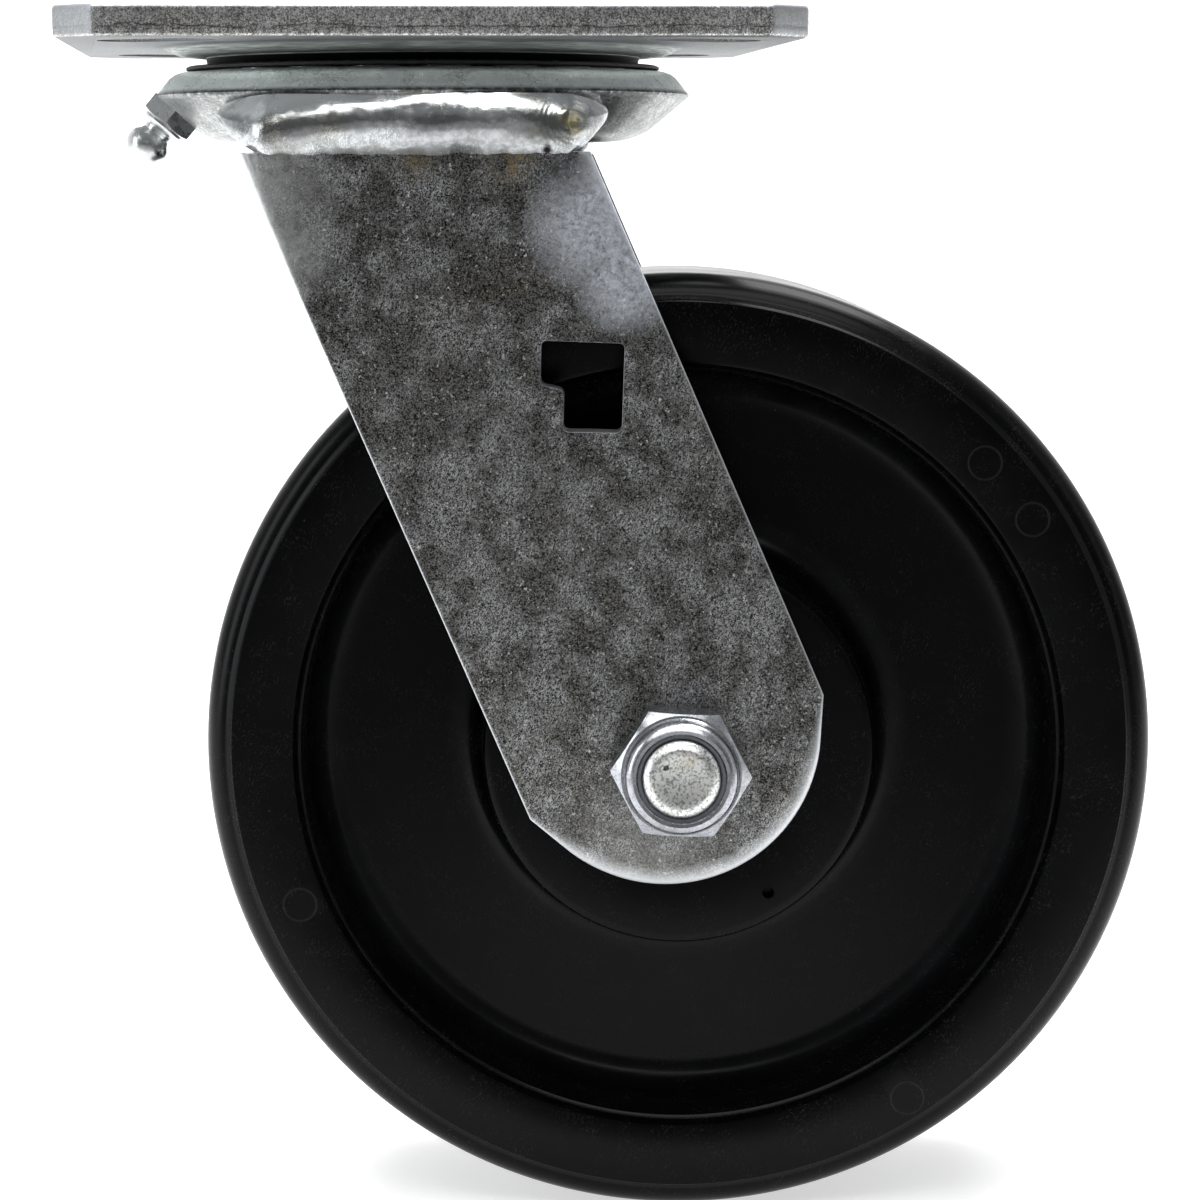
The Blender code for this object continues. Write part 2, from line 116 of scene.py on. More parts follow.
BEAD_HALF = 30.3
BEAD_TOP_Z = -13.45
BEAD_TOE_Z = -22.8
BEAD_PROUD = 3.5
EJECTOR_R = 2.65
FITTING_AZIMUTH = math.radians(188.0)
FITTING_PLACE = (40.2, -15.1)

# Studio sweep in metres
SWEEP_HALF = 6.0
SWEEP_R = 0.6
SWEEP_START = 0.9
SWEEP_TOP = 2.6


# ---------------------------------------------------------------- mesh tools

def to_mesh(shape, name):
    bmesh.ops.remove_doubles(shape, verts=shape.verts, dist=1e-4)
    bmesh.ops.recalc_face_normals(shape, faces=shape.faces)
    mesh = bpy.data.meshes.new(name)
    shape.to_mesh(mesh)
    shape.free()
    return mesh


def skin(shape, rings, name):
    """Close a stack of vertex rings into one solid."""
    count = len(rings[0])
    for upper, lower in zip(rings, rings[1:]):
        for index in range(count):
            other = (index + 1) % count
            shape.faces.new((upper[index], lower[index], lower[other], upper[other]))
    shape.faces.new(rings[0])
    shape.faces.new(list(reversed(rings[-1])))
    return to_mesh(shape, name)


def revolve(profile, segments, axis="Z", centre=(0.0, 0.0, 0.0)):
    """Spin a closed (radius, height) loop in millimetres about an axis through centre."""
    shape = bmesh.new()
    points = [shape.verts.new((radius, 0.0, height)) for radius, height in profile]
    for index, point in enumerate(points):
        shape.edges.new((point, points[(index + 1) % len(points)]))
    bmesh.ops.spin(
        shape,
        geom=list(shape.verts) + list(shape.edges),
        cent=(0, 0, 0),
        axis=(0, 0, 1),
        angle=math.tau,
        steps=segments,
        use_merge=True,
    )
    if axis == "Y":
        shape.transform(Matrix.Rotation(-math.pi / 2, 4, "X"))
    shape.transform(Matrix.Translation(centre))
    return to_mesh(shape, "solid")


def on_axle(profile, segments=96):
    """Revolve a (radius, y) loop about the axle, in the fork's own frame."""
    return revolve(profile, segments, "Y", (AXLE_X, 0.0, AXLE_Z))


def prism(outline, low, high, plane="XY"):
    """Extrude an outline drawn in the XY or XZ plane."""
    shape = bmesh.new()
    if plane == "XY":
        points = [shape.verts.new((a, b, low)) for a, b in outline]
        offset = Vector((0, 0, high - low))
    else:
        points = [shape.verts.new((a, low, b)) for a, b in outline]
        offset = Vector((0, high - low, 0))
    face = shape.faces.new(points)
    extruded = bmesh.ops.extrude_face_region(shape, geom=[face])
    moved = [item for item in extruded["geom"] if isinstance(item, bmesh.types.BMVert)]
    bmesh.ops.translate(shape, verts=moved, vec=offset)
    return to_mesh(shape, "prism")


def combine(base, tool, operation):
    """Apply one exact Boolean and drop the tool."""
    base_item = bpy.data.objects.new("base", base)
    tool_item = bpy.data.objects.new("tool", tool)
    bpy.context.collection.objects.link(base_item)
    bpy.context.collection.objects.link(tool_item)
    modifier = base_item.modifiers.new("combine", "BOOLEAN")
    modifier.operation = operation
    modifier.solver = "EXACT"
    modifier.object = tool_item
    bpy.context.view_layer.update()
    graph = bpy.context.evaluated_depsgraph_get()
    result = bpy.data.meshes.new_from_object(base_item.evaluated_get(graph))
    bpy.data.objects.remove(base_item, do_unlink=True)
    bpy.data.objects.remove(tool_item, do_unlink=True)
    return result


def arc(centre, radius, start, end, steps):
    points = []
    for index in range(steps + 1):
        angle = math.radians(start + (end - start) * index / steps)
        points.append((centre[0] + radius * math.cos(angle), centre[1] + radius * math.sin(angle)))
    return points


def rounded(outline, radius, steps=6):
    """Replace each corner of an outline by a short curve."""
    result = []
    count = len(outline)
    for index in range(count):
        corner = Vector(outline[index])
        before = (Vector(outline[index - 1]) - corner).normalized() * radius
        after = (Vector(outline[(index + 1) % count]) - corner).normalized() * radius
        for step in range(steps + 1):
            t = step / steps
            point = corner + before * (1 - t) ** 2 + after * t**2
            result.append((point.x, point.y))
    return result


def hexagon(across_flats, centre=(0.0, 0.0), turn=0.0):
    radius = across_flats / math.sqrt(3)
    points = []
    for index in range(6):
        angle = turn + index * math.pi / 3
        points.append((centre[0] + radius * math.cos(angle), centre[1] + radius * math.sin(angle)))
    return points


def wander(point, size, seed=0.0):
    """Smooth noise between about -1 and 1 at a feature size in millimetres."""
    return noise.noise(Vector(point) / size + Vector((seed, seed * 1.7, -seed)))


def piece(name, mesh, body, material, nodes=(), angle=35.0, bevel=0.0, fork=True):
    """Scale a millimetre mesh to metres, turn it into the scene frame if it is drawn in the fork's own
    frame, give it a material and tie it to its CAD body."""
    mesh.transform(Matrix.Scale(MM, 4))
    if fork:
        mesh.transform(FORK_TURN)
    mesh.shade_smooth()
    mesh.set_sharp_from_angle(angle=math.radians(angle))
    mesh.materials.clear()
    mesh.materials.append(material)
    item = bpy.data.objects.new(name, mesh)
    bpy.context.collection.objects.link(item)
    if bevel:
        edges = item.modifiers.new("edge", "BEVEL")
        edges.width = bevel * MM
        edges.segments = 3
        edges.limit_method = "ANGLE"
        edges.angle_limit = math.radians(40)
        edges.use_clamp_overlap = True
        edges.harden_normals = True
    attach(item, body)
    if nodes:
        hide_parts(*nodes)


# ---------------------------------------------------------------- materials

class Shader:
    """Short calls for building one node material on object coordinates in metres."""

    def __init__(self, name, metallic):
        self.material = bpy.data.materials.new(name)
        self.material.use_nodes = True
        self.tree = self.material.node_tree
        self.bsdf = self.tree.nodes["Principled BSDF"]
        self.bsdf.inputs["Metallic"].default_value = metallic
        self.coords = self.tree.nodes.new("ShaderNodeTexCoord").outputs["Object"]
        self.normal = self.tree.nodes.new("ShaderNodeTexCoord").outputs["Normal"]

    def node(self, kind, inputs, **settings):
        made = self.tree.nodes.new(kind)
        for key, value in settings.items():
            setattr(made, key, value)
        for key, value in inputs.items():
            if isinstance(value, bpy.types.NodeSocket):
                self.tree.links.new(value, made.inputs[key])
            else:
                made.inputs[key].default_value = value
        return made

    def stretched(self, scale):
        return self.node("ShaderNodeMapping", {"Vector": self.coords, "Scale": scale}).outputs["Vector"]

    def combed(self, rotation, length):
        """Coordinates whose features run length times longer along one turned direction."""
        inputs = {"Vector": self.coords, "Rotation": rotation, "Scale": (1.0, 1.0, length)}
        return self.node("ShaderNodeMapping", inputs, vector_type="TEXTURE").outputs["Vector"]

    def turned(self, along, across):
        """Coordinates that run round the object's vertical axis, for lathe marks and rim cracks."""
        split = self.node("ShaderNodeSeparateXYZ", {"Vector": self.coords}).outputs
        angle = self.math("ARCTAN2", split["Y"], split["X"])
        square = self.math("ADD", self.times(split["X"], split["X"]), self.times(split["Y"], split["Y"]))
        radius = self.math("SQRT", square)
        inputs = {
            "X": self.times(angle, along),
            "Y": self.times(radius, across),
            "Z": self.times(split["Z"], across),
        }
        return self.node("ShaderNodeCombineXYZ", inputs).outputs["Vector"]

    def height(self):
        return self.node("ShaderNodeSeparateXYZ", {"Vector": self.coords}).outputs["Z"]

    def vector_math(self, operation, first, second=(0.0, 0.0, 0.0)):
        made = self.tree.nodes.new("ShaderNodeVectorMath")
        made.operation = operation
        self.tree.links.new(first, made.inputs[0])
        made.inputs[1].default_value = second
        return made.outputs

    def gap(self, place):
        """Distance in metres from a place given in the fork's own frame in millimetres."""
        return self.vector_math("DISTANCE", self.coords, FORK_TURN @ (Vector(place) * MM))["Value"]

    def near(self, place, radius, core=0.0):
        """One at a place in the fork's own frame, in millimetres, and zero at the radius."""
        return self.span(self.gap(place), core * MM, radius * MM, 1.0, 0.0)

    def from_axle(self):
        """Distance in metres from the wheel's axis."""
        hub = FORK_TURN @ Vector((AXLE_X * MM, 0.0, AXLE_Z * MM))
        arm = self.vector_math("SUBTRACT", self.coords, hub)["Vector"]
        cross = self.vector_math("CROSS_PRODUCT", arm, AXLE_AXIS.normalized())["Vector"]
        return self.vector_math("LENGTH", cross)["Value"]

    def scratches(self, scale, length, density):
        """Short fine scratches in three directions, gathered in patches."""
        total = None
        for turn in ((0.4, 0.35, 0.1), (1.2, 1.5, 0.3), (-0.5, 2.4, 0.8)):
            strokes = self.noise(scale, 1.0, 0.5, 0.0, self.combed(turn, length))
            lines = self.span(strokes, density, density + 0.04)
            total = lines if total is None else self.math("MAXIMUM", total, lines)
        return self.times(total, self.span(self.noise(210.0, 2.0, 0.5), 0.42, 0.6))

    def noise(self, scale, detail=3.0, rough=0.55, distortion=0.0, vector=None):
        inputs = {
            "Vector": vector or self.coords, "Scale": scale, "Detail": detail,
            "Roughness": rough, "Distortion": distortion,
        }
        return self.node("ShaderNodeTexNoise", inputs).outputs["Fac"]

    def cells(self, scale):
        """Distance to the nearest cell's middle, as a share of a cell."""
        return self.node("ShaderNodeTexVoronoi", {"Vector": self.coords, "Scale": scale}).outputs["Distance"]

    def span(self, value, low, high, to_low=0.0, to_high=1.0):
        inputs = {"Value": value, "From Min": low, "From Max": high, "To Min": to_low, "To Max": to_high}
        return self.node("ShaderNodeMapRange", inputs).outputs["Result"]

    def math(self, operation, first, second=0.0):
        made = self.tree.nodes.new("ShaderNodeMath")
        made.operation = operation
        for index, value in enumerate((first, second)):
            if isinstance(value, bpy.types.NodeSocket):
                self.tree.links.new(value, made.inputs[index])
            else:
                made.inputs[index].default_value = value
        return made.outputs["Value"]

    def times(self, first, second):
        return self.math("MULTIPLY", first, second)

    def mix(self, factor, first, second, blend="MIX"):
        made = self.tree.nodes.new("ShaderNodeMix")
        made.data_type = "RGBA"
        made.blend_type = blend
        for index, value in ((0, factor), (6, first), (7, second)):
            socket = made.inputs[index]
            if isinstance(value, bpy.types.NodeSocket):
                self.tree.links.new(value, socket)
            elif index == 0:
                socket.default_value = value
            else:
                socket.default_value = (*value, 1.0)
        return made.outputs[2]

    def bump(self, height, strength, distance, normal=None):
        inputs = {"Height": height, "Strength": strength, "Distance": distance * MM}
        if normal:
            inputs["Normal"] = normal
        return self.node("ShaderNodeBump", inputs).outputs["Normal"]

    def mask(self, name):
        return self.node("ShaderNodeAttribute", {}, attribute_name=name).outputs["Fac"]

    def finish(self, colour, roughness, normal=None):
        for key, value in (("Base Color", colour), ("Roughness", roughness), ("Normal", normal)):
            if isinstance(value, bpy.types.NodeSocket):
                self.tree.links.new(value, self.bsdf.inputs[key])
            elif value is not None:
                self.bsdf.inputs[key].default_value = value
        return self.material


def zinc(name, dark, light, grain, flecks, rough, tint, relief, cloud, extra=None):
    """Zinc plated steel: fine sparkling grain under soft clouds, with a faint yellow passivation."""
    s = Shader(name, 1.0)
    fine = s.noise(grain, 3.0, 0.65)
    coarse = s.noise(grain * 0.36, 2.0, 0.5)
    tone = s.math("ADD", s.times(fine, 0.78), s.times(coarse, 0.22))
    base = s.mix(s.span(tone, 0.43, 0.59), dark, light)
    shade = s.span(s.noise(95.0, 4.0, 0.6, 0.5), 0.32, 0.68, 1.0 - cloud, 1.0 + cloud)
    grey = s.node("ShaderNodeCombineColor", {0: shade, 1: shade, 2: shade}).outputs[0]
    base = s.mix(1.0, base, grey, "MULTIPLY")
    gather = s.span(s.noise(330.0, 2.0, 0.6), 0.35, 0.62, 0.25, 1.0)
    fleck = s.times(s.span(s.noise(1900.0, 2.0, 0.5), 0.62, 0.69), s.span(fine, 0.4, 0.55))
    fleck = s.times(fleck, gather)
    base = s.mix(s.times(fleck, flecks), base, (0.84, 0.86, 0.88))
    yellow = s.span(s.noise(38.0, 2.0, 0.5, 1.2), 0.54, 0.7, 0.0, tint)
    base = s.mix(yellow, base, (0.72, 0.6, 0.34), "MULTIPLY")
    scratch = s.scratches(5200.0, 12.0, 0.62)
    base = s.mix(s.times(scratch, 0.55), base, (0.8, 0.82, 0.83))
    roughness = s.span(tone, 0.35, 0.65, rough + 0.08, rough - 0.08)
    height = s.math("ADD", s.times(tone, 0.7), s.times(fleck, 0.3))
    if extra:
        base, roughness, height = extra(s, base, roughness, height)
    normal = s.bump(height, relief, 0.08)
    normal = s.bump(scratch, 0.2, 0.02, normal)
    return s.finish(base, roughness, normal)


def leg_marks_and_painted_light(s, base, roughness, height):
    """Painted highlights on the rolled edges and side walls and in a speckled patch, painted light in the
    pale corner beside the weld and below the nut, painted shade just under the weld, heat tints and fine
    nicks.
    """
    # Mask of the rolled edges, which are painted lighter further down as a painted highlight.
    roll_highlight = s.mask("roll")
    # Painted highlight: edges, bevels, the slot's rims and the side walls, found by their normal, are painted
    # lighter than the flat faces.
    square_on = s.vector_math("DOT_PRODUCT", s.normal, AXLE_AXIS.normalized())["Value"]
    facing = s.math("ABSOLUTE", square_on)
    edge = s.span(facing, 0.985, 0.85)
    base = s.mix(s.times(edge, 0.75), base, (0.78, 0.8, 0.84))
    # Painted light: the leg below the nut is painted a little lighter over a broad round area.
    foot = s.near((AXLE_X - 5.0, -LEG_OUTER_Y, AXLE_Z - 17.0), 19.0, 4.0)
    base = s.mix(s.times(foot, 0.22), base, (0.62, 0.63, 0.62))
    # Painted highlight: the rolled edges are painted lighter.
    base = s.mix(s.times(roll_highlight, 0.6), base, (0.5, 0.52, 0.53))
    face = -LEG_OUTER_Y
    # Painted highlight: a speckled blue-white glint on the leg's upper right, near its edge.
    patch = s.math("MAXIMUM", s.near((29.0, face, -33.5), 12.0, 1.5), s.near((33.0, face, -42.0), 9.0, 1.0))
    mottle = s.span(s.noise(1100.0, 6.0, 0.8), 0.38, 0.58, 0.3, 1.0)
    painted_glint = s.times(mottle, s.span(patch, 0.0, 0.7))
    base = s.mix(painted_glint, base, (0.86, 0.91, 1.0))
    # Painted light: a pale, smooth gradient in the leg's upper left corner beside the weld.
    pale = s.math("MAXIMUM", s.near((-25.0, face, -27.0), 15.0, 1.0), s.near((-20.5, face, -37.0), 10.0))
    pale = s.times(pale, s.span(s.noise(700.0, 4.0, 0.65), 0.35, 0.65, 0.45, 1.0))
    base = s.mix(s.times(pale, 0.8), base, (0.8, 0.82, 0.81))
    faint = s.times(s.near((1.0, face, -23.4), 4.0), 0.5)
    heat = s.math("MAXIMUM", s.near((15.5, face, -23.4), 4.6), faint)
    heat = s.times(heat, s.span(s.noise(520.0, 3.0, 0.6), 0.38, 0.62))
    base = s.mix(s.times(heat, 0.8), base, (0.4, 0.31, 0.13))
    nick = s.scratches(2500.0, 9.0, 0.64)
    base = s.mix(s.times(nick, 0.5), base, (0.62, 0.64, 0.66))
    # Painted shade: a dark spot on the leg just under the weld, right of the middle.
    dark = s.times(s.near((22.0, face, -25.5), 6.0), 0.4)
    base = s.mix(dark, base, (0.05, 0.05, 0.05))
    return base, roughness, height


def plate_edge(s, base, roughness, height):
    """Sheared walls carry upright drag marks and a torn line, with a painted highlight on the rolled top edge
    and painted shade on the diagonal corners and underside; the boss below is turned, and painted near black
    inside, as shade and grease in the gap.
    """
    level = s.height()
    across = s.node("ShaderNodeSeparateXYZ", {"Vector": s.normal}).outputs
    wall = s.times(s.span(level, -0.0001, -0.0006), s.span(level, -0.0052, -0.0047))
    drag = s.noise(2400.0, 3.0, 0.6, 0.0, s.stretched((1.0, 1.0, 0.22)))
    streak = s.times(wall, s.span(drag, 0.42, 0.62))
    base = s.mix(s.times(streak, 0.4), base, (0.055, 0.052, 0.05))
    tear = s.math("ADD", level, s.span(s.noise(160.0, 4.0, 0.65), 0.3, 0.7, 0.0032, 0.0041))
    line = s.span(s.math("ABSOLUTE", tear), 0.00005, 0.0002, 1.0, 0.0)
    line = s.times(line, s.span(s.noise(260.0, 3.0, 0.6), 0.36, 0.5))
    base = s.mix(s.times(line, 0.7), base, (0.012, 0.012, 0.012))
    # Painted highlight: faces of the rolled top edge that tilt upwards are painted pale blue-white.
    rolled = s.times(s.span(across["Z"], 0.1, 0.35), s.span(across["Z"], 0.99, 0.93))
    base = s.mix(s.times(rolled, 0.8), base, (0.86, 0.85, 0.95))
    torn = s.span(s.noise(1100.0, 3.0, 0.6), 0.45, 0.65)
    below = s.times(s.times(s.span(level, -0.0036, -0.0042), torn), wall)
    base = s.mix(s.times(below, 0.5), base, (0.03, 0.03, 0.03))
    # Painted shade: faces turned diagonally, such as the chamfered corners, are painted darker.
    corner = s.math("ABSOLUTE", s.times(across["X"], across["Y"]))
    base = s.mix(s.times(s.span(corner, 0.25, 0.45), 0.85), base, (0.3, 0.31, 0.32))
    # Painted shade: the plate's underside is painted dark grey, and made rougher.
    under = s.span(level, -0.0050, -0.00525)
    base = s.mix(s.times(under, 0.85), base, (0.2, 0.21, 0.215))
    roughness = s.math("MAXIMUM", roughness, s.times(under, 0.62))
    boss = s.span(level, -0.0054, -0.0057)
    rings = s.noise(1.0, 3.0, 0.6, 0.0, s.turned(9.0, 2600.0))
    lathe = s.mix(s.span(rings, 0.35, 0.65), (0.3, 0.32, 0.31), (0.62, 0.65, 0.64))
    base = s.mix(boss, base, lathe)
    # Painted shade along with grease: the boss wall inside the gap above the yoke is painted near black.
    reach = s.vector_math("LENGTH", s.vector_math("MULTIPLY", s.coords, (1.0, 1.0, 0.0))["Vector"])["Value"]
    gap_shade_and_grease = s.times(s.span(level, -0.0069, -0.0071), s.span(reach, 0.0335, 0.0345))
    base = s.mix(gap_shade_and_grease, base, (0.006, 0.006, 0.006))
    height = s.math("SUBTRACT", height, s.times(s.math("MAXIMUM", streak, line), 0.5))
    return base, roughness, height


def yoke_cracks_and_painted_light(s, base, roughness, height):
    """Forging laps run round the rim, with a dirty line where the two cones meet; the upper cone is painted
    pale as painted light.
    """
    level = s.height()
    laps = s.noise(1.0, 5.0, 0.7, 0.6, s.turned(26.0, 900.0))
    crack = s.span(s.math("ABSOLUTE", s.math("SUBTRACT", laps, 0.5)), 0.004, 0.02, 1.0, 0.0)
    crack = s.times(crack, s.span(s.noise(170.0, 2.0, 0.5), 0.5, 0.62))
    # Painted light: the upper cone, above the rim, is painted much paler than the lower cone.
    upper = s.span(level, -0.0128, -0.0122)
    base = s.mix(upper, base, s.mix(s.span(laps, 0.35, 0.65), (0.8, 0.86, 0.84), (0.95, 1.0, 0.98)))
    base = s.mix(s.times(crack, 0.7), base, (0.07, 0.07, 0.065))
    from_seam = s.math("ABSOLUTE", s.math("SUBTRACT", level, CONE_SEAM[1] * MM))
    ridge = s.span(from_seam, 0.00025, 0.0005, 1.0, 0.0)
    ridge = s.times(ridge, s.span(s.noise(700.0, 3.0, 0.6), 0.42, 0.56))
    base = s.mix(s.times(ridge, 0.8), base, (0.05, 0.05, 0.045))
    height = s.math("SUBTRACT", height, s.times(crack, 0.6))
    return base, roughness, height


def weld_tints_and_painted_highlight(s, base, roughness, height):
    """A crown painted pale as a painted highlight, straw and brown tints by the crater and a dark pit at the
    toe.
    """
    front = -LEG_OUTER_Y - 1.5
    # Painted highlight: the upper part of the bead, above a ragged line, is painted almost white.
    ragged = s.span(s.noise(120.0, 3.0, 0.6), 0.3, 0.7, -0.0012, 0.0012)
    crown = s.span(s.math("ADD", s.height(), ragged), -0.0172, -0.016)
    base = s.mix(s.times(crown, 0.85), base, (0.93, 0.96, 0.97))
    patchy = s.span(s.noise(900.0, 2.0, 0.5), 0.4, 0.6)
    straw = s.times(s.near((25.2, front, -17.4), 3.4, 0.6), patchy)
    base = s.mix(straw, base, (0.5, 0.42, 0.14))
    base = s.mix(s.near((21.0, front + 1.2, -22.1), 1.1, 0.4), base, (0.015, 0.013, 0.012))
    mottle = s.span(s.noise(150.0, 3.0, 0.6, 0.8), 0.5, 0.66, 0.0, 0.45)
    base = s.mix(mottle, base, (0.4, 0.38, 0.3), "MULTIPLY")
    return base, roughness, height


def turned_metal(name, colour, rough, tint=0.0, speckle=0.0):
    """Plated or ground steel with fine grain, dark specks and slight stains."""
    s = Shader(name, 1.0)
    soft = s.noise(420.0, 4.0, 0.6, 0.3)
    fine = s.noise(4200.0, 2.0, 0.5)
    base = s.mix(s.span(soft, 0.35, 0.7), colour, tuple(value * 0.72 for value in colour))
    speck = s.times(s.span(s.noise(2300.0, 3.0, 0.65), 0.5, 0.6), speckle)
    base = s.mix(speck, base, tuple(value * 0.3 for value in colour))
    stain = s.span(s.noise(150.0, 3.0, 0.6, 1.0), 0.55, 0.75, 0.0, tint)
    base = s.mix(stain, base, (0.6, 0.48, 0.2), "MULTIPLY")
    roughness = s.span(soft, 0.3, 0.7, rough - 0.06, rough + 0.12)
    height = s.math("ADD", s.times(soft, 0.5), s.times(fine, 0.5))
    return s.finish(base, roughness, s.bump(height, 0.35, 0.03))


def ejector_marks():
    """Centres of the round ejector marks on the rim face."""
    marks = []
    for angle, reach in ((43.4, 67.0), (33.3, 67.4), (-57.1, 68.4), (-157.6, 66.1)):
        turn = math.radians(angle)
        marks.append((AXLE_X + reach * math.cos(turn), AXLE_Z + reach * math.sin(turn)))
    return marks


def black_plastic():
    """Moulded polyolefin: near black, satin, with faint flow marks, scuffs and dust, and lighter rings on the
    fillets that are painted highlight as well as dust.
    """
    s = Shader("wheel_polyolefin", 0.0)
    flow = s.noise(60.0, 4.0, 0.6, 0.8)
    grain = s.noise(2600.0, 3.0, 0.6)
    base = s.mix(s.span(flow, 0.3, 0.75), (0.0005, 0.00055, 0.0007), (0.0014, 0.0015, 0.0017))
    dust = s.times(s.span(s.cells(420.0), 0.07, 0.03), s.span(s.noise(90.0), 0.55, 0.66))
    base = s.mix(s.times(dust, 0.5), base, (0.08, 0.08, 0.078))
    # Painted highlight, with dust gathered there: lighter rings on the fillets inside the rim and round the
    # hub.
    reach = s.from_axle()
    for middle, width in ((0.0575, 0.0035), (0.0358, 0.0028)):
        ring = s.span(s.math("ABSOLUTE", s.math("SUBTRACT", reach, middle)), 0.0, width, 1.0, 0.0)
        ring = s.times(ring, s.span(flow, 0.3, 0.7, 0.5, 1.0))
        base = s.mix(s.times(ring, 0.75), base, (0.009, 0.0095, 0.0105))
    for side in (-1, 1):
        for x, z in ejector_marks():
            away = s.math("ABSOLUTE", s.math("SUBTRACT", s.gap((x, side * TREAD_HALF, z)), EJECTOR_R * MM))
            base = s.mix(s.span(away, 0.0, 0.00022, 0.8, 0.0), base, (0.03, 0.03, 0.03))
    scuff = s.scratches(3200.0, 14.0, 0.66)
    base = s.mix(s.times(scuff, 0.4), base, (0.02, 0.02, 0.02))
    roughness = s.span(s.math("ADD", flow, s.times(scuff, 0.4)), 0.3, 0.9, 0.2, 0.32)
    s.bsdf.inputs["Specular IOR Level"].default_value = 0.11
    height = s.math("ADD", s.times(grain, 0.4), s.times(flow, 0.6))
    return s.finish(base, roughness, s.bump(height, 0.25, 0.04))


def simple_plastic(name, colour, rough):
    """Plain moulded plastic or rubber with a fine uneven grain."""
    s = Shader(name, 0.0)
    grain = s.noise(900.0, 4.0, 0.6)
    base = s.mix(s.span(grain, 0.35, 0.7), colour, tuple(value * 0.75 for value in colour))
    return s.finish(base, s.span(grain, 0.3, 0.7, rough - 0.05, rough + 0.1), s.bump(grain, 0.3, 0.03))


def floor_paper():
    """Matt paper that is dim in front, where the wheel mirrors it, and pale behind the object; it also glows,
    most behind the object, as painted light that washes out the shadows.
    """
    s = Shader("studio_floor", 0.0)
    soft = s.noise(3.0, 2.0, 0.5)
    pale = s.mix(s.span(soft, 0.3, 0.7), (0.55, 0.55, 0.55), (0.58, 0.58, 0.58))
    depth = s.node("ShaderNodeSeparateXYZ", {"Vector": s.coords}).outputs["Y"]
    back = s.span(depth, -0.3, -0.05)
    # Painted light: the floor glows, faintly in front and more behind the object, which washes out the
    # object's shadow.
    s.bsdf.inputs["Emission Color"].default_value = (1.0, 1.0, 1.0, 1.0)
    s.tree.links.new(s.span(back, 0.0, 1.0, 0.19, 0.6), s.bsdf.inputs["Emission Strength"])
    return s.finish(s.mix(back, (0.1, 0.1, 0.1), pale), 0.75)


LEG_ZINC = zinc(
    "leg_zinc", (0.013, 0.0127, 0.012), (0.26, 0.256, 0.245),
    grain=4000.0, flecks=1.0, rough=0.4, tint=0.35, relief=0.6, cloud=0.2, extra=leg_marks_and_painted_light,
)
PLATE_ZINC = zinc(
    "plate_zinc", (0.14, 0.137, 0.13), (0.9, 0.9, 0.89),
    grain=4200.0, flecks=0.9, rough=0.38, tint=0.2, relief=0.6, cloud=0.2, extra=plate_edge,
)
YOKE_ZINC = zinc(
    "yoke_zinc", (0.165, 0.175, 0.172), (0.28, 0.296, 0.292),
    grain=1500.0, flecks=0.2, rough=0.34, tint=0.25, relief=0.35, cloud=0.15, extra=yoke_cracks_and_painted_light,
)
CUP_ZINC = zinc(
    "cup_zinc", (0.3, 0.315, 0.31), (0.5, 0.525, 0.52),
    grain=1500.0, flecks=0.2, rough=0.32, tint=0.25, relief=0.35, cloud=0.15,
)
WELD_ZINC = zinc(
    "weld_zinc", (0.34, 0.352, 0.357), (0.46, 0.478, 0.484),
    grain=900.0, flecks=0.1, rough=0.2, tint=0.5, relief=0.2, cloud=0.12, extra=weld_tints_and_painted_highlight,
)
NUT_STEEL = turned_metal("nut_zinc", (0.46, 0.475, 0.51), 0.22, 0.3, 0.35)
BOLT_STEEL = turned_metal("bolt_zinc", (0.95, 0.96, 0.94), 0.32, 0.8, 0.9)
BARE_STEEL = turned_metal("bearing_steel", (0.52, 0.52, 0.53), 0.28)
BALL_STEEL = turned_metal("ball_steel", (0.6, 0.6, 0.62), 0.12)
FITTING_STEEL = turned_metal("fitting_zinc", (0.72, 0.74, 0.74), 0.26, 0.3)
WHEEL_PLASTIC = black_plastic()
NYLON = simple_plastic("insert_nylon", (0.13, 0.14, 0.16), 0.4)
SEAL_RUBBER = simple_plastic("seal_rubber", (0.015, 0.015, 0.015), 0.6)
CAP_PLASTIC = simple_plastic("cap_plastic", (0.03, 0.03, 0.032), 0.5)
CAGE_PLASTIC = simple_plastic("cage_plastic", (0.36, 0.28, 0.12), 0.5)


# ---------------------------------------------------------------- plate and races

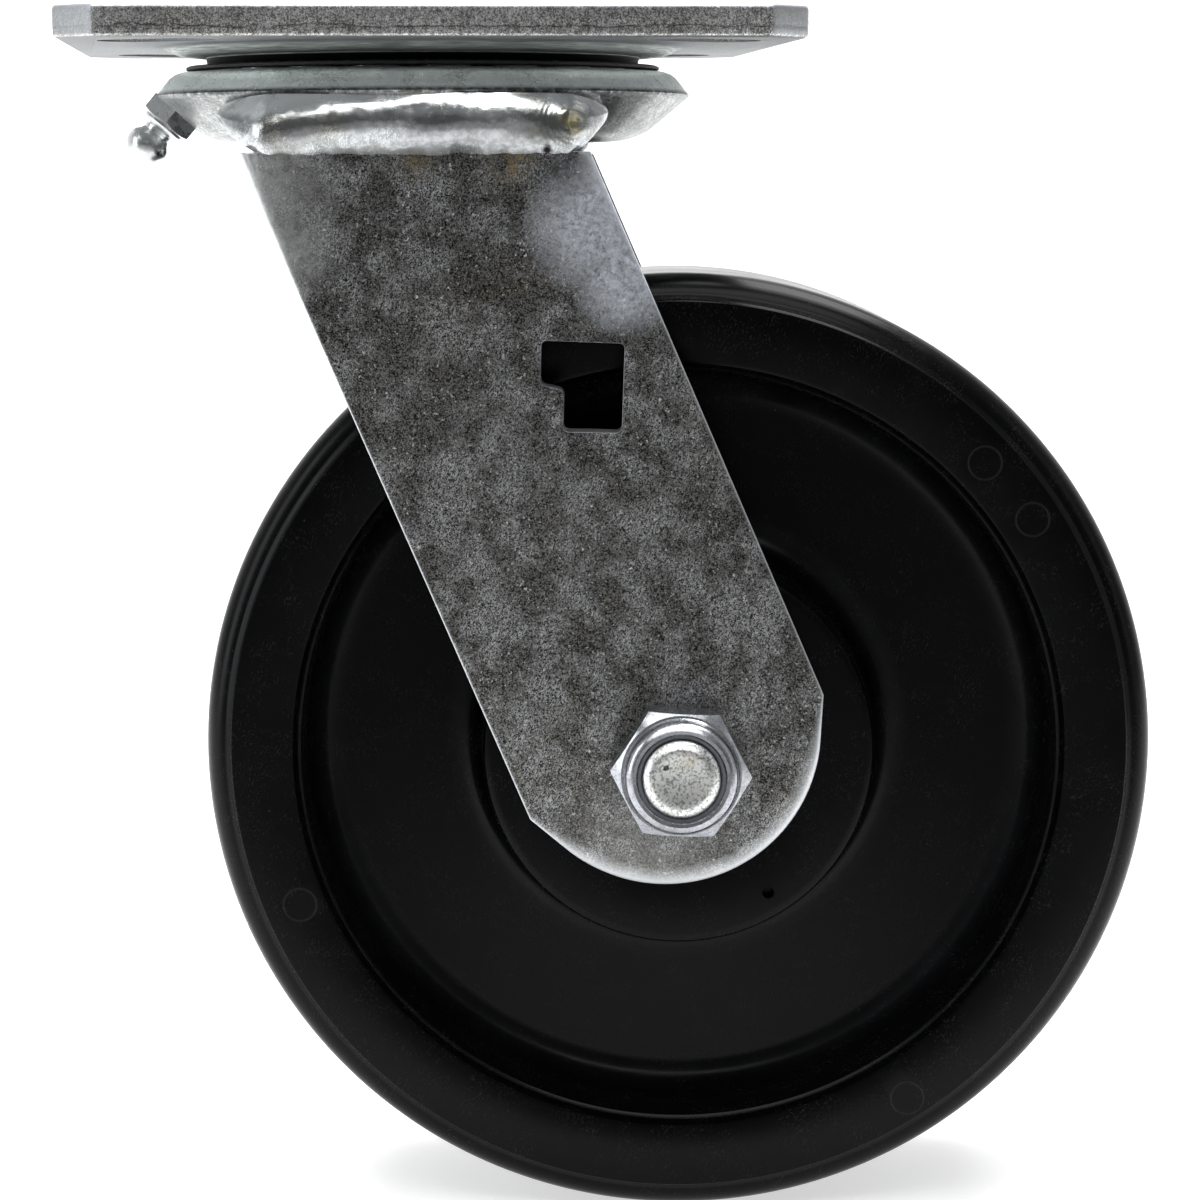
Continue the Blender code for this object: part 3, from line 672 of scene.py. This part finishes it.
def build_top_plate():
    half_x = PLATE_HIGH.x / MM
    half_y = PLATE_HIGH.y / MM
    c = PLATE_CHAMFER
    outline = [
        (half_x, -half_y + c), (half_x, half_y - c), (half_x - c, half_y), (-half_x + c, half_y),
        (-half_x, half_y - c), (-half_x, -half_y + c), (-half_x + c, -half_y), (half_x - c, -half_y),
    ]
    outline = rounded(outline, 0.9, 4)
    # sheared edge as (inset, level): rolled top, upright upper land, slight break, rounded lower corner
    wall = [
        (1.1, 0.0), (0.55, -0.12), (0.18, -0.42), (0.02, -0.85), (0.0, -1.2), (0.0, -3.2), (0.05, -3.5),
        (0.04, -3.8), (0.08, -4.8), (0.26, -5.12), (0.6, -5.3),
    ]
    shape = bmesh.new()
    rings = []
    for inset, z in wall:
        ring = []
        for a, b in outline:
            fx = (half_x - inset) / half_x
            fy = (half_y - inset) / half_y
            ring.append(shape.verts.new((a * fx, b * fy, z)))
        rings.append(ring)
    mesh = skin(shape, rings, "plate")
    profile = [(0.0, -2.0), (43.6, -2.0), (43.6, -PLATE_T - 0.02), (42.6, -PLATE_T - 0.1)]
    profile += [(41.8, -PLATE_T - 0.3), (41.3, -PLATE_T - 0.55), (40.7, -PLATE_T - 0.85)]
    profile += [(40.1, -PLATE_T - 1.15), (39.2, -PLATE_T - 1.35), (37.0, -PLATE_T - 1.45)]
    profile += [(35.4, -PLATE_T - 1.6), (35.1, BOSS_Z)]
    profile += [(KINGPIN_R + 1.4, BOSS_Z), (KINGPIN_R + 0.3, BOSS_Z - 0.5), (KINGPIN_R, BOSS_Z - 1.2)]
    profile += [(KINGPIN_R, THREAD_START)]
    for turn in range(3):
        level = THREAD_START - 0.6 * turn
        profile += [(KINGPIN_R, level - 0.05), (KINGPIN_R - 0.4, level - 0.3), (KINGPIN_R, level - 0.55)]
    profile += [(KINGPIN_R - 0.7, -38.5), (0.0, -38.5)]
    boss = revolve(profile, 240)
    for vertex in boss.vertices:
        radius = math.hypot(vertex.co.x, vertex.co.y)
        if radius > 39.0 and vertex.co.z < -PLATE_T - 0.5:
            vertex.co.z += 0.16 * wander(vertex.co, 11.0, 6.0) + 0.07 * wander(vertex.co, 3.0, 2.0)
    mesh = combine(mesh, boss, "UNION")
    race = arc(UPPER_RACE, UPPER_GROOVE_R, 0, 352.5, 47)
    mesh = combine(mesh, revolve(race, 160), "DIFFERENCE")
    for sign_x in (-1, 1):
        for sign_y in (-1, 1):
            outer = Vector((SLOT_OUTER[0] * sign_x, SLOT_OUTER[1] * sign_y))
            inner = Vector((SLOT_INNER[0] * sign_x, SLOT_INNER[1] * sign_y))
            along = outer - inner
            heading = math.degrees(math.atan2(along.y, along.x))
            slot = arc(outer, SLOT_R, heading - 90, heading + 90, 20)
            slot += arc(inner, SLOT_R, heading + 90, heading + 270, 20)
            mesh = combine(mesh, prism(slot, -12.0, 4.0), "DIFFERENCE")
    piece("forged_top_plate", mesh, "plate", PLATE_ZINC, ["top_plate"], 40.0, 0.25, fork=False)


def build_kingpin_parts():
    nut = prism(hexagon(24.0), -37.0, -27.7)
    chamfer = [(0.0, -27.0), (13.6, -27.7), (15.0, -28.6), (15.0, -36.2), (12.2, -37.0), (0.0, -37.0)]
    nut = combine(nut, revolve(chamfer, 96), "INTERSECT")
    bore = [(0.0, -20.0), (8.1, -20.0), (8.1, -45.0), (0.0, -45.0)]
    nut = combine(nut, revolve(bore, 64), "DIFFERENCE")
    piece("kingpin_lock_nut", nut, "plate", NUT_STEEL, ["kingpin_nut"], 30.0, 0.2, fork=False)
    land = arc(LOWER_RACE, LOWER_GROOVE_R, 185.0, 355.0, 16)
    cup = [(8.3, -27.4), (8.3, -21.5)] + land
    cup += [(18.3, -21.5), (19.0, -21.7), (19.4, -22.3), (19.4, -23.6)]
    cup += [(18.8, -25.2), (16.9, -27.2), (16.2, -27.4)]
    mesh = revolve(cup, 96)
    piece("lower_cup", mesh, "plate", CUP_ZINC, ["lower_race_cup"], 30.0, fork=False)
    seal = [(35.6, -9.05), (38.2, -9.05), (38.6, -8.9), (38.6, -8.5), (38.2, -8.3), (35.6, -8.3)]
    mesh = revolve(seal, 128)
    piece("race_seal", mesh, "plate", SEAL_RUBBER, ["dust_seal"], 30.0, fork=False)


def build_balls(prefix, body, count, radius, race):
    for index in range(count):
        shape = bmesh.new()
        bmesh.ops.create_icosphere(shape, subdivisions=3, radius=radius)
        bmesh.ops.translate(shape, verts=shape.verts, vec=(race[0], 0, race[1]))
        bmesh.ops.rotate(shape, verts=shape.verts, matrix=Matrix.Rotation(math.tau * index / count, 3, "Z"))
        mesh = to_mesh(shape, prefix)
        name = "%s_%02d" % (prefix, index + 1)
        piece("race_" + name, mesh, body, BALL_STEEL, [name], 180.0)


def build_yoke_base():
    upper = arc(UPPER_RACE, UPPER_GROOVE_R, 186.8, 353.2, 22)
    lower = arc(LOWER_RACE, LOWER_GROOVE_R, 11.6, 168.4, 14)
    rim = [
        (38.6, YOKE_TOP), (39.6, YOKE_TOP - 0.05), (40.5, YOKE_TOP - 0.35), (41.3, YOKE_TOP - 0.95),
        (42.2, YOKE_TOP - 2.0), (42.9, YOKE_TOP - 2.9), (43.3, -12.75), CONE_SEAM, (43.35, -13.3),
        (42.8, -13.8), (41.0, -15.3), (39.0, -17.0), (37.6, -18.15), (36.6, -18.85), (35.3, -19.5),
        (34.0, -20.0), (32.4, -20.35), (30.8, YOKE_BOTTOM),
    ]
    profile = [(8.5, YOKE_BOTTOM), (8.5, YOKE_TOP - 1.2), (9.7, YOKE_TOP)] + upper + rim + lower
    mesh = revolve(profile, 224)
    for vertex in mesh.vertices:
        radius = math.hypot(vertex.co.x, vertex.co.y)
        if radius > 36.0:
            push = 0.10 * wander(vertex.co, 7.0, 3.0) + 0.05 * wander(vertex.co, 2.4, 9.0)
            vertex.co.x *= 1 + push / radius
            vertex.co.y *= 1 + push / radius
    piece("forged_yoke", mesh, "fork", YOKE_ZINC, ["yoke_base"], 50.0)


# ---------------------------------------------------------------- grease fitting

def fitting_frame():
    """Seat of the fitting on the yoke's lower cone, square to the cone."""
    lean = Vector((4.6, -5.5)).normalized()
    radial = Vector((math.cos(FITTING_AZIMUTH), math.sin(FITTING_AZIMUTH), 0.0))
    normal = radial * lean.x + Vector((0, 0, lean.y))
    base = radial * FITTING_PLACE[0] + Vector((0, 0, FITTING_PLACE[1]))
    turn = normal.to_track_quat("Z", "Y").to_matrix().to_4x4()
    return Matrix.Translation(base) @ turn @ Matrix.Scale(1.08, 4)


def build_grease_fitting():
    body = prism(hexagon(7.9), 0.1, 3.0)
    chamfer = [(0, 0.1), (4.2, 0.1), (4.8, 0.5), (4.8, 2.5), (3.9, 3.0), (0, 3.0)]
    body = combine(body, revolve(chamfer, 64), "INTERSECT")
    stem = [(0, -4.0), (2.5, -4.0), (2.5, 2.0), (3.3, 2.0), (3.3, 3.4), (2.9, 3.9), (2.35, 4.2), (2.2, 4.9)]
    stem += [(2.5, 5.5), (3.05, 6.1), (3.25, 6.8), (3.22, 7.5), (2.85, 8.4), (2.1, 9.2), (1.7, 9.55)]
    stem += [(0.9, 9.6), (0.8, 9.3), (0, 9.2)]
    mesh = combine(body, revolve(stem, 64), "UNION")
    mesh.transform(fitting_frame())
    piece("zerk_fitting", mesh, "fork", FITTING_STEEL, ["grease_fitting"], 32.0, 0.12)


# ---------------------------------------------------------------- fork legs

def leg_point(across, along):
    x = AXLE_X + across * math.cos(LEG_ANGLE) - along * math.sin(LEG_ANGLE)
    z = AXLE_Z + across * math.sin(LEG_ANGLE) + along * math.cos(LEG_ANGLE)
    return (x, z)


def leg_outline():
    """Anticlockwise outline in the leg's own axes, with the width rolled over by the press."""
    half = LEG_HALF_WIDTH
    corner = math.degrees(math.atan2(LEG_SIDE_STOP - LEG_END_CENTRE, half))
    turn = math.degrees(math.acos(LEG_END_R / math.hypot(half, LEG_SIDE_STOP - LEG_END_CENTRE)))
    start = -corner + turn
    outline = []
    rise = (LEG_TOP_Z - AXLE_Z) / math.cos(LEG_ANGLE)
    top = [rise - side * half * math.tan(LEG_ANGLE) for side in (1, -1)]
    steps = 28
    for index in range(1, steps):
        outline.append((half - 2 * half * index / steps, top[0] + (top[1] - top[0]) * index / steps, 0.0))
    for index in range(steps + 1):
        along = top[1] + (LEG_SIDE_STOP - top[1]) * index / steps
        outline.append((-half, along, side_roll(along, top[1])))
    for across, along in arc((0.0, LEG_END_CENTRE), LEG_END_R, 180 + start, 360 - start, 64):
        low = max(0.0, (LEG_SIDE_STOP - along) / 20.0)
        outline.append((across, along, 0.9 + 2.0 * min(1.0, low * 1.6)))
    for index in range(steps + 1):
        along = LEG_SIDE_STOP + (top[0] - LEG_SIDE_STOP) * index / steps
        outline.append((half, along, side_roll(along, top[0])))
    return outline


def side_roll(along, top):
    """The rolled edge is narrow along the side and opens out under the weld."""
    rise = max(0.0, 1.0 - (top - along) / 34.0)
    return 0.6 + 3.0 * rise**2.2


def build_leg(name, side, node):
    outline = leg_outline()
    count = len(outline)
    outer = LEG_OUTER_Y
    inner = LEG_OUTER_Y - LEG_T
    shape = bmesh.new()
    layer = shape.verts.layers.float.new("roll")
    levels = [1.0, 0.8, 0.6, 0.42, 0.26, 0.12, 0.04, 0.0]
    rings = []
    inwards = []
    for index in range(count):
        before = Vector(outline[index - 1][:2])
        after = Vector(outline[(index + 1) % count][:2])
        way = (after - before).normalized()
        inwards.append(Vector((-way.y, way.x)))
    for level in levels:
        ring = []
        for (across, along, width), inward in zip(outline, inwards):
            inset = width * level
            drop = 0.4 * width * (1 - math.sqrt(max(0.0, 1 - (1 - level) ** 2)))
            x, z = leg_point(across + inward.x * inset, along + inward.y * inset)
            vertex = shape.verts.new((x, side * (outer - drop), z))
            vertex[layer] = (1 - level) ** 0.5 * min(1.0, width / 2.2) if width > 0 else 0.0
            ring.append(vertex)
        rings.append(ring)
    last = []
    for across, along, _ in outline:
        x, z = leg_point(across, along)
        vertex = shape.verts.new((x, side * inner, z))
        vertex[layer] = 0.25
        last.append(vertex)
    rings.append(last)
    mesh = skin(shape, rings, name)
    slot = rounded(BRAKE_SLOT, 1.0)
    mesh = combine(mesh, prism(slot, -60.0, 60.0, "XZ"), "DIFFERENCE")
    hole = arc((AXLE_X, AXLE_Z), BOLT_R + 0.3, 0, 352.5, 47)
    mesh = combine(mesh, prism(hole, -60.0, 60.0, "XZ"), "DIFFERENCE")
    piece(name, mesh, "fork", LEG_ZINC, [node], 25.0, 0.42)


# ---------------------------------------------------------------- weld beads

def bead_section(x, steps):
    """Section of the fillet from the yoke's rim down to its toe on the leg, as (y, z) points."""
    reach = abs(x) / BEAD_HALF
    start = 0.72 if x < 0 else 0.8
    late = max(0.0, (reach - start) / (1 - start))
    fall = 6.5 * reach**2.0 if x < 0 else 6.0 * max(0.0, (reach - 0.35) / 0.65) ** 2.0
    proud = BEAD_PROUD - 1.1 * min(1.0, reach / 0.85) ** 2
    top_z = BEAD_TOP_Z - 0.6 * late
    toe_z = BEAD_TOE_Z + 4.6 * late**1.6
    foot = -LEG_OUTER_Y + 0.15 + 7.0 * late**1.6
    front = []
    for step in range(steps):
        t = step / (steps - 1)
        crown = 1 - 0.3 * ((0.4 - t) / 0.4) ** 2 if t < 0.4 else 1 - ((t - 0.4) / 0.6) ** 2.2
        back_off = fall * (1 - t) ** 1.5
        front.append((Vector((foot - proud * crown + back_off, top_z + (toe_z - top_z) * t)), t))
    top = front[0][0]
    toe = front[-1][0]
    back = []
    inner = [toe + Vector((3.5, 0.4)), Vector((min(-24.0, top.x + 9.0), -19.5)), top + Vector((6.0, 0.3))]
    for first, second in zip([toe] + inner, inner + [top]):
        for step in range(1, 5):
            back.append((first.lerp(second, step / 5), -1.0))
    return front + back


def build_bead(name, side, node, crater_side):
    """Fillet weld laid between the yoke's rim and the leg, with faint ripples that end in a crater."""
    stations = 300
    crater = Vector((25.2 * crater_side, -17.6))
    pit = Vector((21.0 * crater_side, -22.0))
    shape = bmesh.new()
    rings = []
    for station in range(stations):
        x = BEAD_HALF * math.sin((-1 + 2 * station / (stations - 1)) * math.pi / 2)
        size = max(0.03, (1 - abs(x / BEAD_HALF) ** 14) ** 0.5)
        section = bead_section(x, 60)
        heart = sum((point for point, t in section), Vector((0, 0))) / len(section)
        ring = []
        for point, t in section:
            place = Vector((x, point.x, point.y))
            if t > 0:
                body = max(0.0, math.sin(math.pi * t)) ** 0.6
                wave = 0.42 * wander((x, point.y * 2.0, 0.0), 11.0, 4.0) + 0.2 * wander(place, 4.2, 2.0)
                wave += 0.05 * wander(place, 1.3, 7.0)
                away = (Vector((x, point.y)) - crater).length
                shell = max(0.0, 1 - abs(away - 4.2) / 2.6)
                wave += 0.035 * math.sin(away * 8.5) * shell
                wave -= 0.45 * math.exp(-(away / 1.0) ** 2) - 0.12 * math.exp(-((away - 1.9) / 0.7) ** 2)
                wave -= 0.8 * math.exp(-((Vector((x, point.y)) - pit).length / 0.75) ** 2)
                place.y -= wave * body
                place.z -= 0.4 * wander((x * 1.6, 0.0, 3.0), 2.2, 5.0) * max(0.0, t * 2 - 1) ** 2
            place.y = heart.x + (place.y - heart.x) * size
            place.z = heart.y + (place.z - heart.y) * size
            ring.append(shape.verts.new(place))
        rings.append(ring)
    points = len(rings[0])
    for first, second in zip(rings, rings[1:]):
        for index in range(points):
            other = (index + 1) % points
            shape.faces.new((first[index], first[other], second[other], second[index]))
    shape.faces.new(list(reversed(rings[0])))
    shape.faces.new(rings[-1])
    mesh = to_mesh(shape, name)
    if side > 0:
        mesh.transform(Matrix.Scale(-1, 4, (0, 1, 0)))
        mesh.flip_normals()
    piece(name, mesh, "fork", WELD_ZINC, [node], 60.0)


# ---------------------------------------------------------------- axle

def build_axle():
    head_low = LEG_OUTER_Y + 0.1
    head = prism(hexagon(HEX_FLATS, (AXLE_X, AXLE_Z), 0.1), head_low + 0.5, head_low + 7.5, "XZ")
    trim = [(0, 30.0), (13.0, 30.0), (13.0, head_low + 6.2), (10.9, head_low + 6.9), (9.2, head_low + 7.5)]
    trim += [(0, head_low + 7.5)]
    head = combine(head, on_axle(trim), "INTERSECT")
    flange = [(0, head_low), (9.1, head_low), (9.1, head_low + 0.8), (0, head_low + 0.8)]
    head = combine(head, on_axle(flange), "UNION")
    shank = [(0, head_low + 3.0), (BOLT_R, head_low + 3.0), (BOLT_R, -40.0)]
    level = -40.0
    while level > THREAD_END:
        shank += [(BOLT_R, level - 0.25), (BOLT_R - 0.55, level - 0.85), (BOLT_R, level - 1.45)]
        level -= THREAD_PITCH
    shank += [(BOLT_R, -52.1), (BOLT_R - 0.25, -52.45), (BOLT_R - 1.25, -53.15), (BOLT_R - 1.5, -53.2)]
    shank += [(BOLT_R - 2.3, -53.1), (BOLT_R - 4.0, -52.9), (0, -52.85)]
    bolt = combine(head, on_axle(shank), "UNION")
    pip = [(0, -50.0), (0.45, -50.0), (0.45, -54.0), (0, -54.0)]
    cutter = on_axle(pip, 16)
    cutter.transform(Matrix.Translation((-2.4, 0.0, 1.9)))
    bolt = combine(bolt, cutter, "DIFFERENCE")
    piece("hex_axle_bolt", bolt, "fork", BOLT_STEEL, ["axle_bolt"], 30.0, 0.12)

    base = NUT_BASE
    nut = prism(hexagon(HEX_FLATS, (AXLE_X, AXLE_Z), -0.05), base - 8.3, base, "XZ")
    trim = [(0, base), (9.6, base), (10.6, base - 0.35), (11.2, base - 1.0), (11.2, base - 6.6)]
    trim += [(10.6, base - 7.2), (9.9, base - 7.8), (9.3, base - 8.3), (0, base - 8.3)]
    nut = combine(nut, on_axle(trim), "INTERSECT")
    collar = [(0, base - 4.0), (9.0, base - 4.0), (9.0, base - 8.6), (8.75, base - 9.0)]
    collar += [(8.75, base - 10.3), (8.6, base - 11.0), (8.15, base - 11.6), (7.5, base - 11.9)]
    collar += [(7.0, base - 11.85)]
    collar += [(6.75, base - 11.5), (6.75, base - 10.9), (0, base - 10.9)]
    nut = combine(nut, on_axle(collar), "UNION")
    bore = [(0, base + 2), (6.15, base + 2), (6.15, base - 14), (0, base - 14)]
    nut = combine(nut, on_axle(bore), "DIFFERENCE")
    piece("lock_nut", nut, "fork", NUT_STEEL, ["axle_nut"], 30.0, 0.1)

    ring = [(6.1, base - 9.0), (7.2, base - 9.0), (7.2, base - 11.1), (6.9, base - 11.3)]
    ring += [(6.3, base - 11.2), (6.1, base - 11.0)]
    piece("insert_ring", on_axle(ring), "fork", NYLON, ["nut_insert"], 30.0)
    sleeve = [(6.2, -32.3), (9.2, -32.3), (9.525, -32.0), (9.525, 32.0), (9.2, 32.3), (6.2, 32.3)]
    piece("spanner_bushing", on_axle(sleeve), "fork", BARE_STEEL, ["axle_sleeve"], 30.0)
    for label, side in (("near", -1), ("far", 1)):
        washer = [(9.8, 26.8), (18.1, 26.8), (18.4, 27.1), (18.4, 30.2), (18.1, 30.5), (9.8, 30.5)]
        mesh = on_axle([(radius, side * y) for radius, y in washer])
        node = "thrust_washer_" + label
        piece("hub_washer_" + label, mesh, "fork", BARE_STEEL, [node], 30.0)
        cap = [(9.8, 30.7), (15.6, 30.7), (16.0, 31.0), (15.8, 31.8), (14.8, 32.3), (9.8, 32.3)]
        mesh = on_axle([(radius, side * y) for radius, y in cap])
        piece("bearing_cap_" + label, mesh, "fork", CAP_PLASTIC, ["dust_cap_" + label], 30.0)


# ---------------------------------------------------------------- wheel

def wheel_contour():
    """Half section from the bore to the middle of the tread, on the +Y side."""
    contour = [(BORE_R, HUB_HALF - 0.6), (BORE_R + 0.2, HUB_HALF - 0.15), (BORE_R + 0.6, HUB_HALF)]
    contour += [(HUB_R - 1.5, HUB_HALF), (HUB_R - 0.9, HUB_HALF - 0.08), (HUB_R - 0.3, HUB_HALF - 0.4)]
    contour += [(HUB_R, HUB_HALF - 0.9), (HUB_R + 0.15, HUB_HALF - 1.6), (HUB_R + 0.9, WEB_HALF + 4.4)]
    contour += arc((HUB_R + 5.3, WEB_HALF + 4.4), 4.4, 180, 270, 12)[1:]
    contour += arc((RIM_INNER_R - 6.3, WEB_HALF + 4.8), 4.8, -90, 0, 12)
    contour += [(RIM_INNER_R - 1.0, TREAD_HALF - 3.4), (RIM_INNER_R - 0.85, TREAD_HALF - 2.6)]
    contour += [(RIM_INNER_R - 0.35, TREAD_HALF - 2.3), (RIM_INNER_R - 0.1, TREAD_HALF - 1.9)]
    contour += [(RIM_INNER_R, TREAD_HALF - 0.7), (RIM_INNER_R + 0.25, TREAD_HALF - 0.22)]
    contour += [(RIM_INNER_R + 0.8, TREAD_HALF), (WHEEL_R - 4.7, TREAD_HALF)]
    contour += [(WHEEL_R - 4.45, TREAD_HALF - 0.06), (WHEEL_R - 4.3, TREAD_HALF - 0.2)]
    contour += [(WHEEL_R - 4.22, TREAD_HALF - 0.5), (WHEEL_R - 4.1, TREAD_HALF - 0.75)]
    contour += [(WHEEL_R - 3.85, TREAD_HALF - 0.9)] + arc((WHEEL_R - 4.8, TREAD_HALF - 5.9), 4.8, 74, 0, 16)
    return contour


def build_wheel():
    half = wheel_contour()
    profile = half + [(radius, -y) for radius, y in reversed(half)]
    mesh = on_axle(profile, 288)
    for side in (-1, 1):
        for x, z in ejector_marks():
            mark = [(EJECTOR_R - 0.1, TREAD_HALF - 0.12), (EJECTOR_R + 0.1, TREAD_HALF - 0.12)]
            mark += [(EJECTOR_R + 0.1, 26.0), (EJECTOR_R - 0.1, 26.0)]
            ring = revolve([(radius, side * y) for radius, y in mark], 32, "Y", (x, 0, z))
            mesh = combine(mesh, ring, "DIFFERENCE")
    pin = [(0, -40.0), (0.95, -40.0), (0.95, -24.0), (0, -24.0)]
    hole = revolve(pin, 24, "Y", (AXLE_X + 14.4, 0, AXLE_Z - 23.1))
    mesh = combine(mesh, hole, "DIFFERENCE")
    piece("moulded_wheel", mesh, "wheel", WHEEL_PLASTIC, ["wheel"], 28.0)


def dress_cad_nodes():
    """CAD solids that keep their own shape get their finish here."""
    for name, item in frame["nodes"].items():
        if name.startswith("roller_cage"):
            item.data.materials.clear()
            item.data.materials.append(CAGE_PLASTIC)
        elif name.startswith("roller_"):
            item.data.materials.clear()
            item.data.materials.append(BALL_STEEL)


# ---------------------------------------------------------------- studio

def build_studio():
    """Pale paper sweep: a wide floor that curves up into the backdrop, in metres."""
    shape = bmesh.new()
    run = [(-SWEEP_HALF, 0.0)] + arc((SWEEP_START, SWEEP_R), SWEEP_R, -90, 0, 10)
    run += [(SWEEP_START + SWEEP_R, SWEEP_TOP)]
    rows = []
    for y, z in run:
        rows.append([shape.verts.new((x, y, FLOOR_Z + z)) for x in (-SWEEP_HALF, SWEEP_HALF)])
    for first, second in zip(rows, rows[1:]):
        shape.faces.new((first[0], first[1], second[1], second[0]))
    mesh = bpy.data.meshes.new("sweep")
    bmesh.ops.recalc_face_normals(shape, faces=shape.faces)
    shape.to_mesh(mesh)
    shape.free()
    mesh.shade_smooth()
    mesh.materials.append(floor_paper())
    floor = bpy.data.objects.new("studio_sweep", mesh)
    bpy.context.collection.objects.link(floor)


def area_light(name, place, target, width, height, energy, colour=(1, 1, 1)):
    data = bpy.data.lights.new(name, "AREA")
    data.shape = "RECTANGLE"
    data.size = width
    data.size_y = height
    data.energy = energy
    data.color = colour
    item = bpy.data.objects.new(name, data)
    bpy.context.collection.objects.link(item)
    item.location = place
    item.rotation_mode = "QUATERNION"
    item.rotation_quaternion = (Vector(target) - Vector(place)).to_track_quat("-Z", "Y")


def build_lights():
    middle = (0.02, 0.0, -0.08)
    area_light("top_softbox", (0.05, 0.2, 0.95), middle, 1.2, 0.9, 24.0)
    area_light("upper_front", (-0.15, -0.62, 0.8), middle, 1.3, 0.5, 8.0)
    area_light("left_strip", (-0.95, -0.25, 0.1), middle, 0.3, 0.9, 3.0, (0.94, 0.97, 1.0))
    area_light("right_strip", (0.95, -0.35, 0.2), middle, 0.25, 0.8, 0.35)
    area_light("backdrop_wash", (0.0, 0.2, 1.7), (0.0, 1.45, 0.2), 2.2, 0.6, 30.0)
    world = bpy.data.worlds.new("studio")
    bpy.context.scene.world = world
    world.use_nodes = True
    tree = world.node_tree
    background = tree.nodes["Background"]
    coords = tree.nodes.new("ShaderNodeTexCoord")
    split = tree.nodes.new("ShaderNodeSeparateXYZ")
    fade = tree.nodes.new("ShaderNodeMapRange")
    fade.interpolation_type = "SMOOTHSTEP"
    fade.inputs["From Min"].default_value = -0.85
    fade.inputs["From Max"].default_value = 0.5
    fade.inputs["To Min"].default_value = 0.15
    fade.inputs["To Max"].default_value = 0.5
    tree.links.new(coords.outputs["Generated"], split.inputs["Vector"])
    tree.links.new(split.outputs["Y"], fade.inputs["Value"])
    tree.links.new(fade.outputs["Result"], background.inputs["Strength"])
    background.inputs["Color"].default_value = (0.97, 0.98, 1.0, 1.0)


def build_camera():
    """Eye just below the plate, looking slightly down and nearly square to the wheel."""
    data = bpy.data.cameras.new("camera")
    data.sensor_width = 36.0
    data.lens = 102.5
    data.clip_start = 0.01
    data.clip_end = 20.0
    item = bpy.data.objects.new("camera", data)
    bpy.context.collection.objects.link(item)
    place = FORK_TURN @ Vector(((AXLE_X - 10.3) * MM, -0.5663, (AXLE_Z + 92.1) * MM))
    pan = Matrix.Rotation(REST_TURN + 0.0041, 3, "Z")
    tilt = Matrix.Rotation(-0.1247, 3, "X")
    axes = pan @ tilt
    right = axes.col[0]
    forward = axes.col[1]
    up = axes.col[2]
    roll = -0.0031
    level = right * math.cos(roll) + up * math.sin(roll)
    rise = up * math.cos(roll) - right * math.sin(roll)
    turn = Matrix((level, rise, -forward)).transposed()
    item.matrix_world = Matrix.Translation(place) @ turn.to_4x4()
    bpy.context.scene.camera = item
    bpy.context.scene.view_settings.view_transform = "Standard"


build_camera()
build_top_plate()
build_kingpin_parts()
build_balls("upper_ball", "upper_balls", 18, UPPER_BALL_R, UPPER_RACE)
build_balls("lower_ball", "lower_balls", 12, LOWER_BALL_R, LOWER_RACE)
build_yoke_base()
build_grease_fitting()
build_leg("near_fork_leg", -1, "near_leg")
build_leg("far_fork_leg", 1, "far_leg")
build_bead("near_weld_bead", -1, "near_weld", 1)
build_bead("far_weld_bead", 1, "far_weld", -1)
build_axle()
build_wheel()
dress_cad_nodes()
build_studio()
build_lights()
